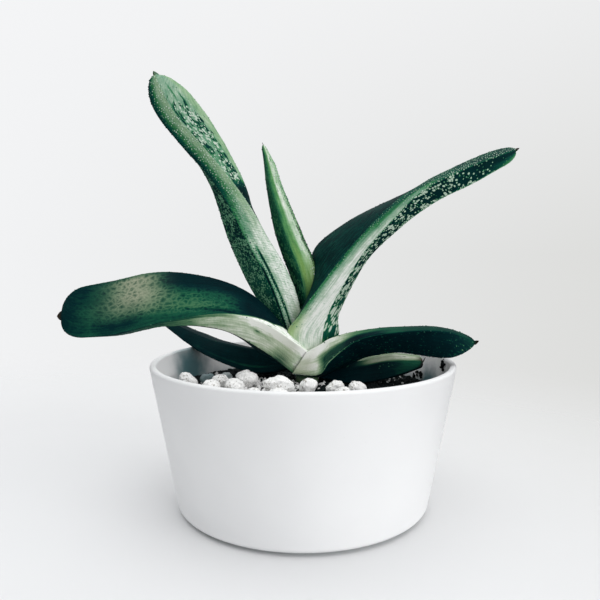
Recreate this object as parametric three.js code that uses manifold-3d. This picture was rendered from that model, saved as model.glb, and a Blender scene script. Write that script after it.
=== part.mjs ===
// A potted gasteria (ox tongue): seven thick, keeled, tongue-shaped leaves on a short stem, in a low
// tapered pot filled with dark soil and topped with white marble pebbles.
// Millimetres, +Z up. The origin is the centre of the pot's foot, on the surface that it stands on.

import * as THREE from 'three';
import { mergeVertices } from 'three/addons/utils/BufferGeometryUtils.js';
import Module from 'manifold-3d';

// ---------------------------------------------------------------- driving dimensions

const SEAT_GAP = 0.3;            // clearance between pieces that touch
const CUT_GAP = 0.45;            // growth of a piece before it is cut from its neighbours

const POT_HEIGHT = 62;
const RIM_RADIUS = 65;           // outside of the lip
const HEEL_RADIUS = 53.8;        // outside of the wall, carried down to the bottom edge
const WALL = 2.8;
const LIP_ROUND = 1.1;
const HEEL_ROUND = 2.2;
const FOOT_RADIUS = 50;
const FOOT_HEIGHT = 1.3;
const FLOOR_TOP = 5;             // inside floor, above the foot's face
const POT_SIDES = 72;

const SOIL_AT_WALL = 48.5;
const SOIL_CROWN = 51.5;         // top of the low mound around the stem
const SOIL_MOUND = 1.6;          // how sharply the mound falls towards the wall
const SOIL_SIDES = 56;

const STEM_AT = [2, 3];
const STEM_RADIUS = 5;
const STEM_FOOT = 36;
const STEM_TOP = 60;
const STEM_SIDES = 16;
const ROOT_COUNT = 5;
const ROOT_TURN = 0.4;           // radians from +X to the first root
const ROOT_RINGS = 6;
const ROOT_SIDES = 7;
const ROOT_TAPER = 0.6;          // share of the radius lost at the end of a root
const ROOT_RADIUS = 1.6;
const ROOT_REACH = 26;
const ROOT_DROP = 17;

const LEAF_RINGS = 24;           // sections from a leaf's base to its tip
const RING_CROWDING = 0.35;      // how far the sections draw together towards the tip
const FACE_STEPS = { side: 3, keel: 2, back: 4 };
const FACE_BULGE = { side: 0.05, keel: 0.04, back: 0.03 };
const TIP_POWER = 2.3;           // 2 rounds a tip as an ellipse, more makes it blunter
const TIP_END = 0.12;            // size of the last section, as a share of the full one
const POINT_END = 0.02;          // the same for the end of the small horny point beyond it

const PEBBLE_SEED = 20;
const PEBBLE_SCATTER = 38;       // pebbles beyond the ones that are placed by hand
const PEBBLE_WIDTH = [6.5, 10.5];
const PEBBLE_DEPTH = [0.8, 0.95];  // share of the width
const PEBBLE_HEIGHT = [0.6, 0.78]; // share of the width
const PEBBLE_SPACING = 0.5;
const PEBBLE_TRIES = 6000;
const PEBBLE_FLATS = 5;
const FLAT_REACH = [0.68, 0.86];   // from the middle of the ball, as a share of its radius
const FLAT_SHARE = 0.9;            // how much of what stands beyond a flat is pressed down
const PEBBLE_TILT = 0.3;           // largest lean, in radians
const PEBBLE_CLEARANCE = 1.2;      // to the wall and the leaves
const NEAREST_SHARE = 0.1;         // of the bed's area around the stem, left free
const BARE_SECTORS = [[-48, 34], [120, 172]];   // degrees from +X: soil without pebbles

// ---------------------------------------------------------------- leaves

// Each leaf is a tongue with a narrow flat keel. Four rails run from its base to its tip: the margin on
// one side, the two edges of the keel, and the margin on the other side. A list below holds the stations
// along a leaf, each one as [margin, keel edge, keel edge, margin]. The tip ends in a small horny point.

const LEAVES = [
  {
    name: 'low_right_leaf',
    colour: 0x16382f,
    tipLength: 8,
    point: [71, -17.8, 71.4],
    stations: [
      [[-1.5, 6, 62], [1.5, -7, 66], [-4.5, -8, 57], [-1.5, 5, 54.5]],
      [[6.5, 7, 64], [7.5, -7, 69.5], [6.5, -10, 57], [10, 5, 54]],
      [[15, 7, 67], [12.5, -7, 72.5], [11.5, -11, 63.5], [19, 0, 58.5]],
      [[25, 4, 71.5], [23.5, -8, 75.5], [23.5, -13, 72.5], [27.5, -8, 64]],
      [[43.5, 2, 73.5], [41, -11, 77.5], [41, -16, 76], [40, -13, 66.5]],
      [[59, -2, 74], [56, -14, 77.5], [55.5, -18, 76.5], [56, -17, 65]],
      [[71, -9, 73], [70.5, -16, 75], [70, -19, 74], [69.5, -20, 66.8]],
    ],
  },
  {
    name: 'low_left_leaf',
    colour: 0x1d4a3a,
    tipLength: 12,
    point: [-97.4, -22.4, 82.9],
    stations: [
      [[-1.5, 7, 66.5], [3, -6, 65.5], [-4, -6, 56.5], [-6.5, 5, 59.5]],
      [[-18, 3, 86.8], [-16.5, -9, 78.5], [-16.5, -8, 66.5], [-19.5, 0, 65.5]],
      [[-34.5, -3, 96.5], [-33, -14, 83], [-34.5, -12, 76.5], [-31.5, -6, 75]],
      [[-56.5, -12, 100.5], [-55, -20, 80.5], [-56, -16, 78], [-54, -12, 79.5]],
      [[-77, -17, 97], [-76, -24, 75.5], [-74.5, -21, 75], [-74, -17, 77.5]],
      [[-96.5, -20, 93], [-96, -26, 74.5], [-95, -23, 75], [-94.5, -20, 78]],
    ],
  },
  {
    name: 'small_right_leaf',
    colour: 0x23523a,
    tipLength: 3,
    point: [56.8, 15.5, 60.1],
    stations: [
      [[6, 11, 58.5], [6, 2, 58.5], [7.5, 0, 53.5], [11.5, 9, 51.5]],
      [[25, 10, 60.5], [24.5, 3, 60.5], [21, -3, 52], [28, 6, 51]],
      [[40, 14, 62], [39, 8, 62.5], [36, 3, 52.5], [43, 10, 52.5]],
      [[56, 19, 60], [55.5, 15, 60], [53, 11, 56], [56.5, 16, 55.5]],
    ],
  },
  {
    name: 'back_left_leaf',
    colour: 0x143029,
    tipLength: 6,
    point: [-77.2, 51.8, 78.4],
    stations: [
      [[-2.5, 12, 63], [-5, 4, 64.5], [-5.5, 2, 57.5], [-2, 10, 56]],
      [[-24, 24, 63], [-24.5, 14, 64.5], [-23, 10, 54], [-19, 20, 52]],
      [[-43, 37, 66], [-43, 28, 66], [-45.5, 24, 59], [-40.5, 32, 59.5]],
      [[-61, 48, 71.5], [-61.5, 40, 71.5], [-64, 38, 68], [-59.5, 45, 66.5]],
      [[-75, 54, 79], [-76, 50, 78], [-76.5, 48, 75.5], [-75, 52, 75]],
    ],
  },
  {
    name: 'centre_spear_leaf',
    colour: 0x3f7a4a,
    tipLength: 2.5,
    point: [-18.6, 19.5, 158.4],
    stations: [
      [[1, 12, 57], [2, 8, 57], [5, 8, 57], [5.5, 12, 57]],
      [[-2, 13, 68], [1.5, 8, 67], [6, 9, 68], [7, 14, 68]],
      [[-5, 13, 93.5], [0, 8, 94.5], [5, 10, 97], [8, 15, 95.5]],
      [[-12.5, 15, 115.5], [-7.5, 10, 116], [-2.5, 12, 116], [0.5, 17, 115.5]],
      [[-16.5, 18, 136.5], [-14, 13, 136], [-11, 14, 137], [-8.2, 18, 136]],
      [[-18, 19, 148.5], [-16.5, 16.5, 148], [-14.5, 16.5, 148], [-12.3, 18.5, 148]],
      [[-19, 20, 157], [-18.5, 19, 157], [-17.5, 19, 157], [-17, 20, 157]],
    ],
  },
  {
    name: 'upper_right_leaf',
    colour: 0x2a5c45,
    tipLength: 9,
    point: [92, 0.5, 152.4],
    stations: [
      [[4, 11, 57], [-3, 0, 57], [5, 0, 57], [10, 7, 57]],
      [[2, 14, 71], [-7, -3, 73], [8, -3, 70], [16, 5, 71.5]],
      [[6, 18, 89], [-1, -2, 82.5], [11, -3, 82.5], [16.5, 4, 82]],
      [[4.5, 18.5, 108.3], [17, 0, 106], [24, -3, 105.5], [28.5, 3, 105]],
      [[21, 15, 122.8], [32, 1, 122.5], [38, -3, 122], [44.5, 2, 120.5]],
      [[47, 14, 135], [46, 3, 134.5], [51, -3, 134.5], [57.5, -1, 130]],
      [[72.5, 12, 146.5], [69.5, 4, 147], [69.5, -3, 144], [71, -3, 136.5]],
      [[90.5, 8, 154.2], [90, 2, 154.2], [90, -3, 151.5], [90.8, -4, 147.3]],
    ],
  },
  {
    name: 'tall_left_leaf',
    colour: 0x3a6b4e,
    tipLength: 12,
    point: [-66.2, 14, 188.3],
    stations: [
      [[-4, 9, 57], [-4.5, 2, 57], [-0.5, 3, 57], [0, 9, 57]],
      [[-10, 10, 70], [-6, 3, 69], [1, 4, 69], [0.5, 10, 70]],
      [[-23.5, 11, 91.5], [-14.5, 3, 93.5], [-3.5, 6, 92.5], [-6, 12, 94]],
      [[-33.5, 14, 113], [-25, 6, 114], [-14.8, 8, 114], [-20, 14, 116]],
      [[-41.5, 16, 137], [-37.5, 9, 136.5], [-27, 8, 134], [-25, 14, 137]],
      [[-52, 18, 155.5], [-51.5, 11, 152.5], [-42.5, 8, 153], [-34.8, 13, 157]],
      [[-64.5, 18, 172.5], [-65.2, 13, 169.5], [-56.5, 9, 169.5], [-46, 13, 174]],
      [[-69.5, 18, 187], [-71, 14, 185.5], [-65.5, 11, 186.5], [-58, 14, 187.3]],
    ],
  },
];

// ---------------------------------------------------------------- pebbles placed by hand

// [x, y, width, depth, height, turn in degrees]
const FRONT_PEBBLES = [
  [-48, -7.5, 7.5, 6.5, 6.6, 20],
  [-41.5, 0, 8.5, 7, 6.4, 70],
  [-35, -8.5, 8.5, 7.5, 6.8, 15],
  [-37, -17.5, 8.5, 8, 6.4, 0],
  [-27.8, -16.5, 9, 8, 6.9, -20],
  [-23.5, -7, 9.6, 8, 7.6, 10],
  [-9.8, -20, 13.4, 9, 7.8, -6],
  [2.2, -20.5, 8.6, 8, 7.2, 45],
  [12.8, -20.5, 8.4, 8, 5.8, 25],
  [22, -20.5, 8.2, 8, 5.8, -10],
];

// ---------------------------------------------------------------- shared geometry

const wasm = await Module();
wasm.setup();

function weld(geometry) {
  geometry.deleteAttribute('normal');
  geometry.deleteAttribute('uv');
  return mergeVertices(geometry, 1e-4);
}

function toSolid(geometry) {
  return new wasm.Manifold(new wasm.Mesh({
    numProp: 3,
    vertProperties: new Float32Array(geometry.attributes.position.array),
    triVerts: new Uint32Array(geometry.index.array),
  }));
}

function toGeometry(solid) {
  const mesh = solid.getMesh();
  const geometry = new THREE.BufferGeometry();
  geometry.setAttribute('position', new THREE.BufferAttribute(mesh.vertProperties, 3));
  geometry.setIndex(new THREE.BufferAttribute(mesh.triVerts, 1));
  return geometry;
}

const joined = (geometries) => geometries.map(toSolid).reduce((sum, solid) => sum.add(solid));

// The same closed surface moved out along its normals, to cut a neighbour with clearance.
function grown(geometry, distance) {
  const copy = geometry.clone();
  copy.computeVertexNormals();
  const { position, normal } = copy.attributes;
  for (let i = 0; i < position.count; i += 1) {
    position.setXYZ(
      i,
      position.getX(i) + normal.getX(i) * distance,
      position.getY(i) + normal.getY(i) * distance,
      position.getZ(i) + normal.getZ(i) * distance,
    );
  }
  copy.deleteAttribute('normal');
  return copy;
}

function signedVolume(geometry) {
  const { position } = geometry.attributes;
  const index = geometry.index.array;
  const [a, b, c] = [new THREE.Vector3(), new THREE.Vector3(), new THREE.Vector3()];
  let sum = 0;
  for (let i = 0; i < index.length; i += 3) {
    a.fromBufferAttribute(position, index[i]);
    b.fromBufferAttribute(position, index[i + 1]);
    c.fromBufferAttribute(position, index[i + 2]);
    sum += a.dot(b.cross(c)) / 6;
  }
  return sum;
}

// Closed skin over rings with equal numbers of points, with a point in the middle of each end.
function loft(rings) {
  const steps = rings[0].length;
  const middle = (ring) => ring
    .reduce((sum, p) => sum.add(p), new THREE.Vector3())
    .divideScalar(steps);
  const points = [...rings.flat(), middle(rings[0]), middle(rings[rings.length - 1])];
  const start = rings.length * steps;
  const lastRing = (rings.length - 1) * steps;
  const faces = [];
  for (let s = 0; s < steps; s += 1) {
    const next = (s + 1) % steps;
    for (let r = 0; r < rings.length - 1; r += 1) {
      const low = r * steps;
      const high = low + steps;
      faces.push(low + s, low + next, high + s, low + next, high + next, high + s);
    }
    faces.push(start, next, s, start + 1, lastRing + s, lastRing + next);
  }
  const geometry = new THREE.BufferGeometry().setFromPoints(points);
  geometry.setIndex(faces);
  if (signedVolume(geometry) < 0) {
    geometry.setIndex(faces.reverse());
  }
  return geometry;
}

function material(colour, roughness) {
  return new THREE.MeshStandardMaterial({ color: colour, roughness, metalness: 0 });
}

function named(name, geometry, colour, roughness) {
  const mesh = new THREE.Mesh(geometry, material(colour, roughness));
  mesh.name = name;
  return mesh;
}

// ---------------------------------------------------------------- pot

const wallSlope = (RIM_RADIUS - HEEL_RADIUS) / (POT_HEIGHT - FOOT_HEIGHT);
const outerRadius = (z) => HEEL_RADIUS + (z - FOOT_HEIGHT) * wallSlope;
const innerRadius = (z) => outerRadius(z) - WALL;

function arc(centreR, centreZ, radius, fromDegrees, toDegrees, steps) {
  return Array.from({ length: steps + 1 }, (_, i) => {
    const angle = THREE.MathUtils.degToRad(fromDegrees + ((toDegrees - fromDegrees) * i) / steps);
    return [centreR + radius * Math.cos(angle), centreZ + radius * Math.sin(angle)];
  });
}

function turned(profile, sides) {
  const points = profile.map(([r, z]) => new THREE.Vector2(r, z));
  const geometry = weld(new THREE.LatheGeometry(points, sides));
  geometry.rotateX(Math.PI / 2);
  return geometry;
}

function makePot() {
  const heelZ = FOOT_HEIGHT + HEEL_ROUND;
  const lipZ = POT_HEIGHT - LIP_ROUND;
  const coveZ = FLOOR_TOP + HEEL_ROUND;
  const profile = [
    [0, 0],
    [FOOT_RADIUS, 0],
    [FOOT_RADIUS, FOOT_HEIGHT],
    ...arc(outerRadius(heelZ) - HEEL_ROUND, heelZ, HEEL_ROUND, -90, 0, 4),
    ...arc(outerRadius(lipZ) - LIP_ROUND, lipZ, LIP_ROUND, 0, 90, 3),
    ...arc(innerRadius(lipZ) + LIP_ROUND, lipZ, LIP_ROUND, 90, 180, 3),
    ...arc(innerRadius(coveZ) - HEEL_ROUND, coveZ, HEEL_ROUND, 0, -90, 3),
    [0, FLOOR_TOP],
  ];
  return turned(profile, POT_SIDES);
}

// ---------------------------------------------------------------- stem and roots

function ring(centre, along, radius, sides) {
  const turn = new THREE.Quaternion().setFromUnitVectors(new THREE.Vector3(0, 0, 1), along);
  return Array.from({ length: sides }, (_, i) => {
    const angle = (i * 2 * Math.PI) / sides;
    return new THREE.Vector3(Math.cos(angle), Math.sin(angle), 0)
      .multiplyScalar(radius)
      .applyQuaternion(turn)
      .add(centre);
  });
}

// The stem's body and its roots, as separate closed shapes.
function makeStemShapes() {
  const up = new THREE.Vector3(0, 0, 1);
  const [x, y] = STEM_AT;
  const profile = [
    [STEM_FOOT, 0.45],
    [STEM_FOOT + 1.5, 0.85],
    [STEM_FOOT + 5, 1],
    [STEM_TOP - 4, 1],
    [STEM_TOP - 1, 0.75],
    [STEM_TOP, 0.4],
  ];
  const body = loft(profile.map(([z, share]) => (
    ring(new THREE.Vector3(x, y, z), up, STEM_RADIUS * share, STEM_SIDES)
  )));
  const roots = Array.from({ length: ROOT_COUNT }, (_, i) => {
    const angle = (i * 2 * Math.PI) / ROOT_COUNT + ROOT_TURN;
    const out = new THREE.Vector3(Math.cos(angle), Math.sin(angle), 0);
    const begin = new THREE.Vector3(x, y, STEM_FOOT + 4).addScaledVector(out, STEM_RADIUS * 0.5);
    const curve = new THREE.QuadraticBezierCurve3(
      begin,
      begin.clone().addScaledVector(out, ROOT_REACH * 0.5),
      begin.clone().addScaledVector(out, ROOT_REACH).addScaledVector(up, -ROOT_DROP),
    );
    const rings = Array.from({ length: ROOT_RINGS }, (_, k) => {
      const t = k / (ROOT_RINGS - 1);
      const radius = ROOT_RADIUS * (1 - ROOT_TAPER * t);
      return ring(curve.getPoint(t), curve.getTangent(t), radius, ROOT_SIDES);
    });
    return loft(rings);
  });
  return [body, ...roots];
}

// ---------------------------------------------------------------- leaf bodies

// Points from one rail to the next, bowed away from the middle of the section.
function facePoints(from, to, middle, steps, bulge) {
  const along = to.clone().sub(from);
  const length = along.length();
  along.normalize();
  const out = from.clone().add(to).multiplyScalar(0.5).sub(middle);
  out.addScaledVector(along, -out.dot(along)).normalize();
  return Array.from({ length: steps }, (_, i) => {
    const share = i / steps;
    return from.clone().lerp(to, share).addScaledVector(out, bulge * length * 4 * share * (1 - share));
  });
}

// Middle of a closed outline, each edge counted by its length.
function outlineMiddle(corners) {
  const sum = new THREE.Vector3();
  let total = 0;
  corners.forEach((corner, i) => {
    const next = corners[(i + 1) % corners.length];
    const length = corner.distanceTo(next);
    sum.addScaledVector(corner, length / 2).addScaledVector(next, length / 2);
    total += length;
  });
  return sum.divideScalar(total);
}

const scaledAbout = (points, middle, size) => (
  points.map((p) => p.clone().sub(middle).multiplyScalar(size).add(middle))
);

function leafRings({ stations, tipLength, point }) {
  const rails = [0, 1, 2, 3].map((k) => new THREE.CatmullRomCurve3(
    stations.map((station) => new THREE.Vector3(...station[k])),
    false,
    'catmullrom',
    0.5,
  ));
  const tip = outlineMiddle(rails.map((rail) => rail.getPoint(1)));
  const rings = Array.from({ length: LEAF_RINGS }, (_, i) => {
    const u = i / (LEAF_RINGS - 1);
    const t = u + RING_CROWDING * u ** 3 * (1 - u);
    const [m1, k1, k2, m2] = rails.map((rail) => rail.getPoint(t));
    const middle = outlineMiddle([m1, k1, k2, m2]);
    const past = 1 - Math.min(middle.distanceTo(tip) / tipLength, 1);
    const size = Math.max((1 - past ** TIP_POWER) ** (1 / TIP_POWER), TIP_END);
    return scaledAbout([
      ...facePoints(m1, k1, middle, FACE_STEPS.side, FACE_BULGE.side),
      ...facePoints(k1, k2, middle, FACE_STEPS.keel, FACE_BULGE.keel),
      ...facePoints(k2, m2, middle, FACE_STEPS.side, FACE_BULGE.side),
      ...facePoints(m2, m1, middle, FACE_STEPS.back, FACE_BULGE.back),
    ], middle, size);
  });
  const end = new THREE.Vector3(...point);
  const last = scaledAbout(rings[LEAF_RINGS - 1], tip, POINT_END / TIP_END);
  return [...rings, last.map((p) => p.sub(tip).add(end))];
}

// ---------------------------------------------------------------- soil

const soilHeight = (r) => {
  const share = Math.min(r / innerRadius(SOIL_AT_WALL), 1);
  return SOIL_CROWN - (SOIL_CROWN - SOIL_AT_WALL) * share ** SOIL_MOUND;
};

function makeSoil() {
  const coveZ = FLOOR_TOP + HEEL_ROUND;
  const cove = arc(innerRadius(coveZ) - HEEL_ROUND, coveZ, HEEL_ROUND - SEAT_GAP, -90, 0, 3);
  const edge = innerRadius(SOIL_AT_WALL) - SEAT_GAP;
  const surface = [1, 0.84, 0.66, 0.48, 0.3, 0.15]
    .map((share) => edge * share)
    .map((r) => [r, soilHeight(r)]);
  return turned([[0, FLOOR_TOP + SEAT_GAP], ...cove, ...surface, [0, SOIL_CROWN]], SOIL_SIDES);
}

// ---------------------------------------------------------------- pebbles

function randomSource(seed) {
  let state = seed;
  return () => {
    state = (state * 1664525 + 1013904223) % 4294967296;
    return state / 4294967296;
  };
}

const random = randomSource(PEBBLE_SEED);
const randomBetween = (low, high) => low + (high - low) * random();

// A tumbled marble chip: a ball with a few flats, scaled and turned, resting on the soil.
function makePebble([x, y, width, depth, height, turn]) {
  const geometry = weld(new THREE.IcosahedronGeometry(1, 1));
  const { position } = geometry.attributes;
  const flats = Array.from({ length: PEBBLE_FLATS }, () => ({
    normal: new THREE.Vector3(randomBetween(-1, 1), randomBetween(-1, 1), randomBetween(-1, 1)).normalize(),
    reach: randomBetween(...FLAT_REACH),
  }));
  const tilt = new THREE.Euler(
    randomBetween(-PEBBLE_TILT, PEBBLE_TILT),
    randomBetween(-PEBBLE_TILT, PEBBLE_TILT),
    THREE.MathUtils.degToRad(turn),
  );
  let lift = -Infinity;
  const p = new THREE.Vector3();
  for (let i = 0; i < position.count; i += 1) {
    p.fromBufferAttribute(position, i);
    flats.forEach(({ normal, reach }) => {
      const past = p.dot(normal) - reach;
      if (past > 0) {
        p.addScaledVector(normal, -past * FLAT_SHARE);
      }
    });
    p.set((p.x * width) / 2, (p.y * depth) / 2, (p.z * height) / 2).applyEuler(tilt);
    p.x += x;
    p.y += y;
    position.setXYZ(i, p.x, p.y, p.z);
    lift = Math.max(lift, soilHeight(Math.hypot(p.x, p.y)) - p.z);
  }
  return geometry.translate(0, 0, lift + SEAT_GAP);
}

function touchesLeaf([x, y, width, , height], leafPoints) {
  const z = soilHeight(Math.hypot(x, y)) + height / 2;
  const reach = width / 2 + PEBBLE_CLEARANCE;
  return leafPoints.some((p) => Math.hypot(p.x - x, p.y - y, p.z - z) < reach);
}

function scatterPebbles(leafPoints) {
  const placed = [...FRONT_PEBBLES];
  const target = placed.length + PEBBLE_SCATTER;
  for (let tries = 0; tries < PEBBLE_TRIES && placed.length < target; tries += 1) {
    const angle = randomBetween(-180, 180);
    const bare = BARE_SECTORS.some(([from, to]) => angle > from && angle < to);
    const width = randomBetween(...PEBBLE_WIDTH);
    const reach = innerRadius(SOIL_AT_WALL) - width / 2 - PEBBLE_CLEARANCE;
    const r = reach * Math.sqrt(randomBetween(NEAREST_SHARE, 1));
    const x = r * Math.cos(THREE.MathUtils.degToRad(angle));
    const y = r * Math.sin(THREE.MathUtils.degToRad(angle));
    const depth = width * randomBetween(...PEBBLE_DEPTH);
    const height = width * randomBetween(...PEBBLE_HEIGHT);
    const pebble = [x, y, width, depth, height, angle * 7];
    const clear = placed.every((other) => (
      Math.hypot(other[0] - x, other[1] - y) > (other[2] + width) / 2 + PEBBLE_SPACING
    ));
    if (!bare && clear && !touchesLeaf(pebble, leafPoints)) {
      placed.push(pebble);
    }
  }
  return placed;
}

// ---------------------------------------------------------------- the object

const object = new THREE.Group();
object.name = 'potted_gasteria';

object.add(named('pot', makePot(), 0xf2f3f3, 0.55));

const stemShapes = makeStemShapes();
object.add(named('stem_with_roots', toGeometry(joined(stemShapes)), 0x5d7a52, 0.7));

const cutters = [joined(stemShapes.map((shape) => grown(shape, CUT_GAP)))];
const leafPoints = [];
LEAVES.forEach((leaf) => {
  const rings = leafRings(leaf);
  leafPoints.push(...rings.flat());
  const whole = loft(rings);
  const trimmed = cutters.reduce((solid, cutter) => solid.subtract(cutter), toSolid(whole));
  object.add(named(leaf.name, toGeometry(trimmed), leaf.colour, 0.45));
  cutters.push(toSolid(grown(whole, CUT_GAP)));
});

const soil = cutters.reduce((solid, cutter) => solid.subtract(cutter), toSolid(makeSoil()));
object.add(named('soil', toGeometry(soil), 0x2a2420, 0.95));

scatterPebbles(leafPoints).forEach((pebble, i) => {
  const name = `pebble_${String(i + 1).padStart(2, '0')}`;
  object.add(named(name, makePebble(pebble), 0xe9e6df, 0.6));
});

export default object;
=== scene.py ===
# A potted gasteria (ox tongue): seven thick, keeled tongue leaves on a short stem, in a low tapered
# white pot of dark soil topped with white marble pebbles. Sizes and places of the pieces are in
# millimetres from the middle of the pot's foot; the room, the lights and the shaders are in metres.

import math
import random

import bmesh
import bpy
import numpy as np
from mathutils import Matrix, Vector, noise


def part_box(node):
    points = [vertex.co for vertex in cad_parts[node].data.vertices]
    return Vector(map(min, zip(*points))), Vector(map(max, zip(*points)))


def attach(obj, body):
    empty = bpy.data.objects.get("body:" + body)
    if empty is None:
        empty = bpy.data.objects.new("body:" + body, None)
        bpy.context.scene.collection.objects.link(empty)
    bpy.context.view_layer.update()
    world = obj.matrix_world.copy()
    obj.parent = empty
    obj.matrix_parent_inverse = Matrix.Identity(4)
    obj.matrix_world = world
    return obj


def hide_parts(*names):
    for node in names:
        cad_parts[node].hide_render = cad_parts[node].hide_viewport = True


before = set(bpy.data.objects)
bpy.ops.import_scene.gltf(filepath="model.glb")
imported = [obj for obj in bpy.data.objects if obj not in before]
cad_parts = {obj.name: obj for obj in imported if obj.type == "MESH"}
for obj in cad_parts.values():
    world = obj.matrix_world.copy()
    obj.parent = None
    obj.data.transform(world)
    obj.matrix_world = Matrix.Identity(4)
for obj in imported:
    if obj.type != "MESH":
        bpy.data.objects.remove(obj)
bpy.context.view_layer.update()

MM = 0.001

# ---------------------------------------------------------------- the set
# A pale table in a white room, with a broad window of soft light from the right. The camera stands
# just above the height of the rim and looks a little down.

CAMERA_PLACE = (-0.00125, -0.2585, 0.1073)
CAMERA_DIP = 4.35                  # degrees below level
CAMERA_WIDTH = 36                  # of the sensor, and the focal length too
LIGHTS_AIM = (0, 0, 0.08)
# What the camera sees of the room is painted shade, darker low down and at the right; it lights
# nothing.
WALL_LOW_LEFT, WALL_LOW_RIGHT = (0.885, 0.892, 0.902, 1), (0.725, 0.728, 0.715, 1)
WALL_HIGH = (0.93, 0.935, 0.95, 1)
ROOM_TINT = (0.99, 1.0, 1.008)
CEILING_LIGHT, CEILING_NARROWS = 2.1, 3.0        # straight above, and how fast it falls off
BACK_WALL_LIGHT, LEFT_WALL_LIGHT = 0.4, 0.28
FLOOR_REACH = 2.0
FLOOR_SIDES = 64
# The table fades sooner at the right, so that the painted shade of the room shows there.
FLOOR_MIDDLE = (-0.14, -0.16, 0.0)
FLOOR_FADE = (0.14, 0.6)           # where the table starts to fade and is gone, from its middle
FLOOR_WHITE = (0.79, 0.793, 0.8, 1)


def shown(name, data):
    """A new object, linked to the scene."""
    made = bpy.data.objects.new(name, data)
    bpy.context.scene.collection.objects.link(made)
    return made


class Wire:
    """What a node gives out, in its tree. Arithmetic on it adds Math nodes."""

    def __init__(self, socket):
        self.socket, self.tree = socket, socket.id_data

    def math(self, operation, *others, clamp=False):
        return wire(self.tree, "ShaderNodeMath", 0, dict(enumerate((self, *others))),
                    operation=operation, use_clamp=clamp)

    def vector(self, operation, other=(0, 0, 0), output="Vector"):
        """Arithmetic on three numbers at once; for SCALE the other is a single number."""
        return wire(self.tree, "ShaderNodeVectorMath", output,
                    {0: self, "Scale" if operation == "SCALE" else 1: other}, operation=operation)

    def __add__(self, other):
        return self.math("ADD", other)

    def __sub__(self, other):
        return self.math("SUBTRACT", other)

    def __rsub__(self, other):
        return self.math("MULTIPLY_ADD", -1.0, other)

    def __mul__(self, other):
        return self.math("MULTIPLY", other)

    def __truediv__(self, other):
        return self.math("DIVIDE", other)


def add_node(tree, kind, inputs=None, **settings):
    """A node; inputs says {name or number: value or a wire to it}."""
    made = tree.nodes.new(kind)
    for key, value in settings.items():
        setattr(made, key, value)
    for key, value in (inputs or {}).items():
        if isinstance(value, Wire):
            tree.links.new(value.socket, made.inputs[key])
        else:
            made.inputs[key].default_value = value
    return made


def wire(tree, kind, output, inputs=None, **settings):
    """The output of a new node."""
    return Wire(add_node(tree, kind, inputs, **settings).outputs[output])


def mix_colour(share, first, second):
    return wire(share.tree, "ShaderNodeMix", 2, {0: share, 6: first, 7: second}, data_type="RGBA")


def axes_of(where):
    return [Wire(axis) for axis in add_node(where.tree, "ShaderNodeSeparateXYZ", {0: where}).outputs]


def area_light(name, place, size, power, colour):
    data = bpy.data.lights.new(name, "AREA")
    data.shape = "RECTANGLE"
    data.size, data.size_y = size
    data.energy = power
    data.color = colour
    light = shown(name, data)
    light.location = place
    light.rotation_euler = (Vector(LIGHTS_AIM) - Vector(place)).to_track_quat("-Z", "Y").to_euler()


def place_camera():
    data = bpy.data.cameras.new("camera")
    data.sensor_width = data.lens = CAMERA_WIDTH
    camera = shown("camera", data)
    camera.location = CAMERA_PLACE
    camera.rotation_euler = (math.radians(90 - CAMERA_DIP), 0, 0)
    bpy.context.scene.camera = camera


def make_room():
    """White walls, seen with painted shade a little darker low down and at the right; the ceiling gives
    the light.
    """
    world = bpy.data.worlds.new("white room")
    bpy.context.scene.world = world
    world.use_nodes = True
    tree = world.node_tree
    tree.nodes.clear()
    x, y, z = axes_of(wire(tree, "ShaderNodeTexCoord", "Generated"))
    height = z.math("MAXIMUM", 0.0)
    seen_low = mix_colour(x.math("MULTIPLY_ADD", 1.1, 0.5, clamp=True),
                          WALL_LOW_LEFT, WALL_LOW_RIGHT)
    seen = mix_colour(height.math("MULTIPLY", 1.6, clamp=True), seen_low, WALL_HIGH)
    low_walls = y.math("MAXIMUM", 0.0) * BACK_WALL_LIGHT + x.math("MINIMUM", 0.0) * -LEFT_WALL_LIGHT
    sky = height.math("POWER", CEILING_NARROWS) * CEILING_LIGHT + low_walls
    above_table = z.math("GREATER_THAN", 0.0)
    given = wire(tree, "ShaderNodeVectorMath", 0, {0: ROOM_TINT, "Scale": sky * above_table},
                 operation="SCALE")
    looked_at = wire(tree, "ShaderNodeLightPath", "Is Camera Ray")
    light = wire(tree, "ShaderNodeBackground", 0, {"Color": mix_colour(looked_at, given, seen)})
    add_node(tree, "ShaderNodeOutputWorld", {"Surface": light})


def blank_material(name):
    """A material without nodes, and the place on the object."""
    made = bpy.data.materials.new(name)
    made.use_nodes = True
    made.node_tree.nodes.clear()
    return made, wire(made.node_tree, "ShaderNodeTexCoord", "Object")


def make_floor():
    mesh = bpy.data.meshes.new("floor")
    rim = [(FLOOR_REACH * math.cos(a), FLOOR_REACH * math.sin(a), 0.0)
           for a in (2 * math.pi * i / FLOOR_SIDES for i in range(FLOOR_SIDES))]
    mesh.from_pydata(rim, [], [list(range(FLOOR_SIDES))])
    paint, place = blank_material("pale table")
    tree = paint.node_tree
    fade = wire(tree, "ShaderNodeMapRange", 0,
                {"Value": place.vector("DISTANCE", FLOOR_MIDDLE, "Value"),
                 "From Min": FLOOR_FADE[0], "From Max": FLOOR_FADE[1]},
                interpolation_type="SMOOTHSTEP")
    white = wire(tree, "ShaderNodeBsdfDiffuse", 0, {"Color": FLOOR_WHITE})
    clear = wire(tree, "ShaderNodeBsdfTransparent", 0)
    mixed = wire(tree, "ShaderNodeMixShader", 0, {0: fade, 1: white, 2: clear})
    add_node(tree, "ShaderNodeOutputMaterial", {"Surface": mixed})
    mesh.materials.append(paint)
    shown("floor", mesh)


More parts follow.
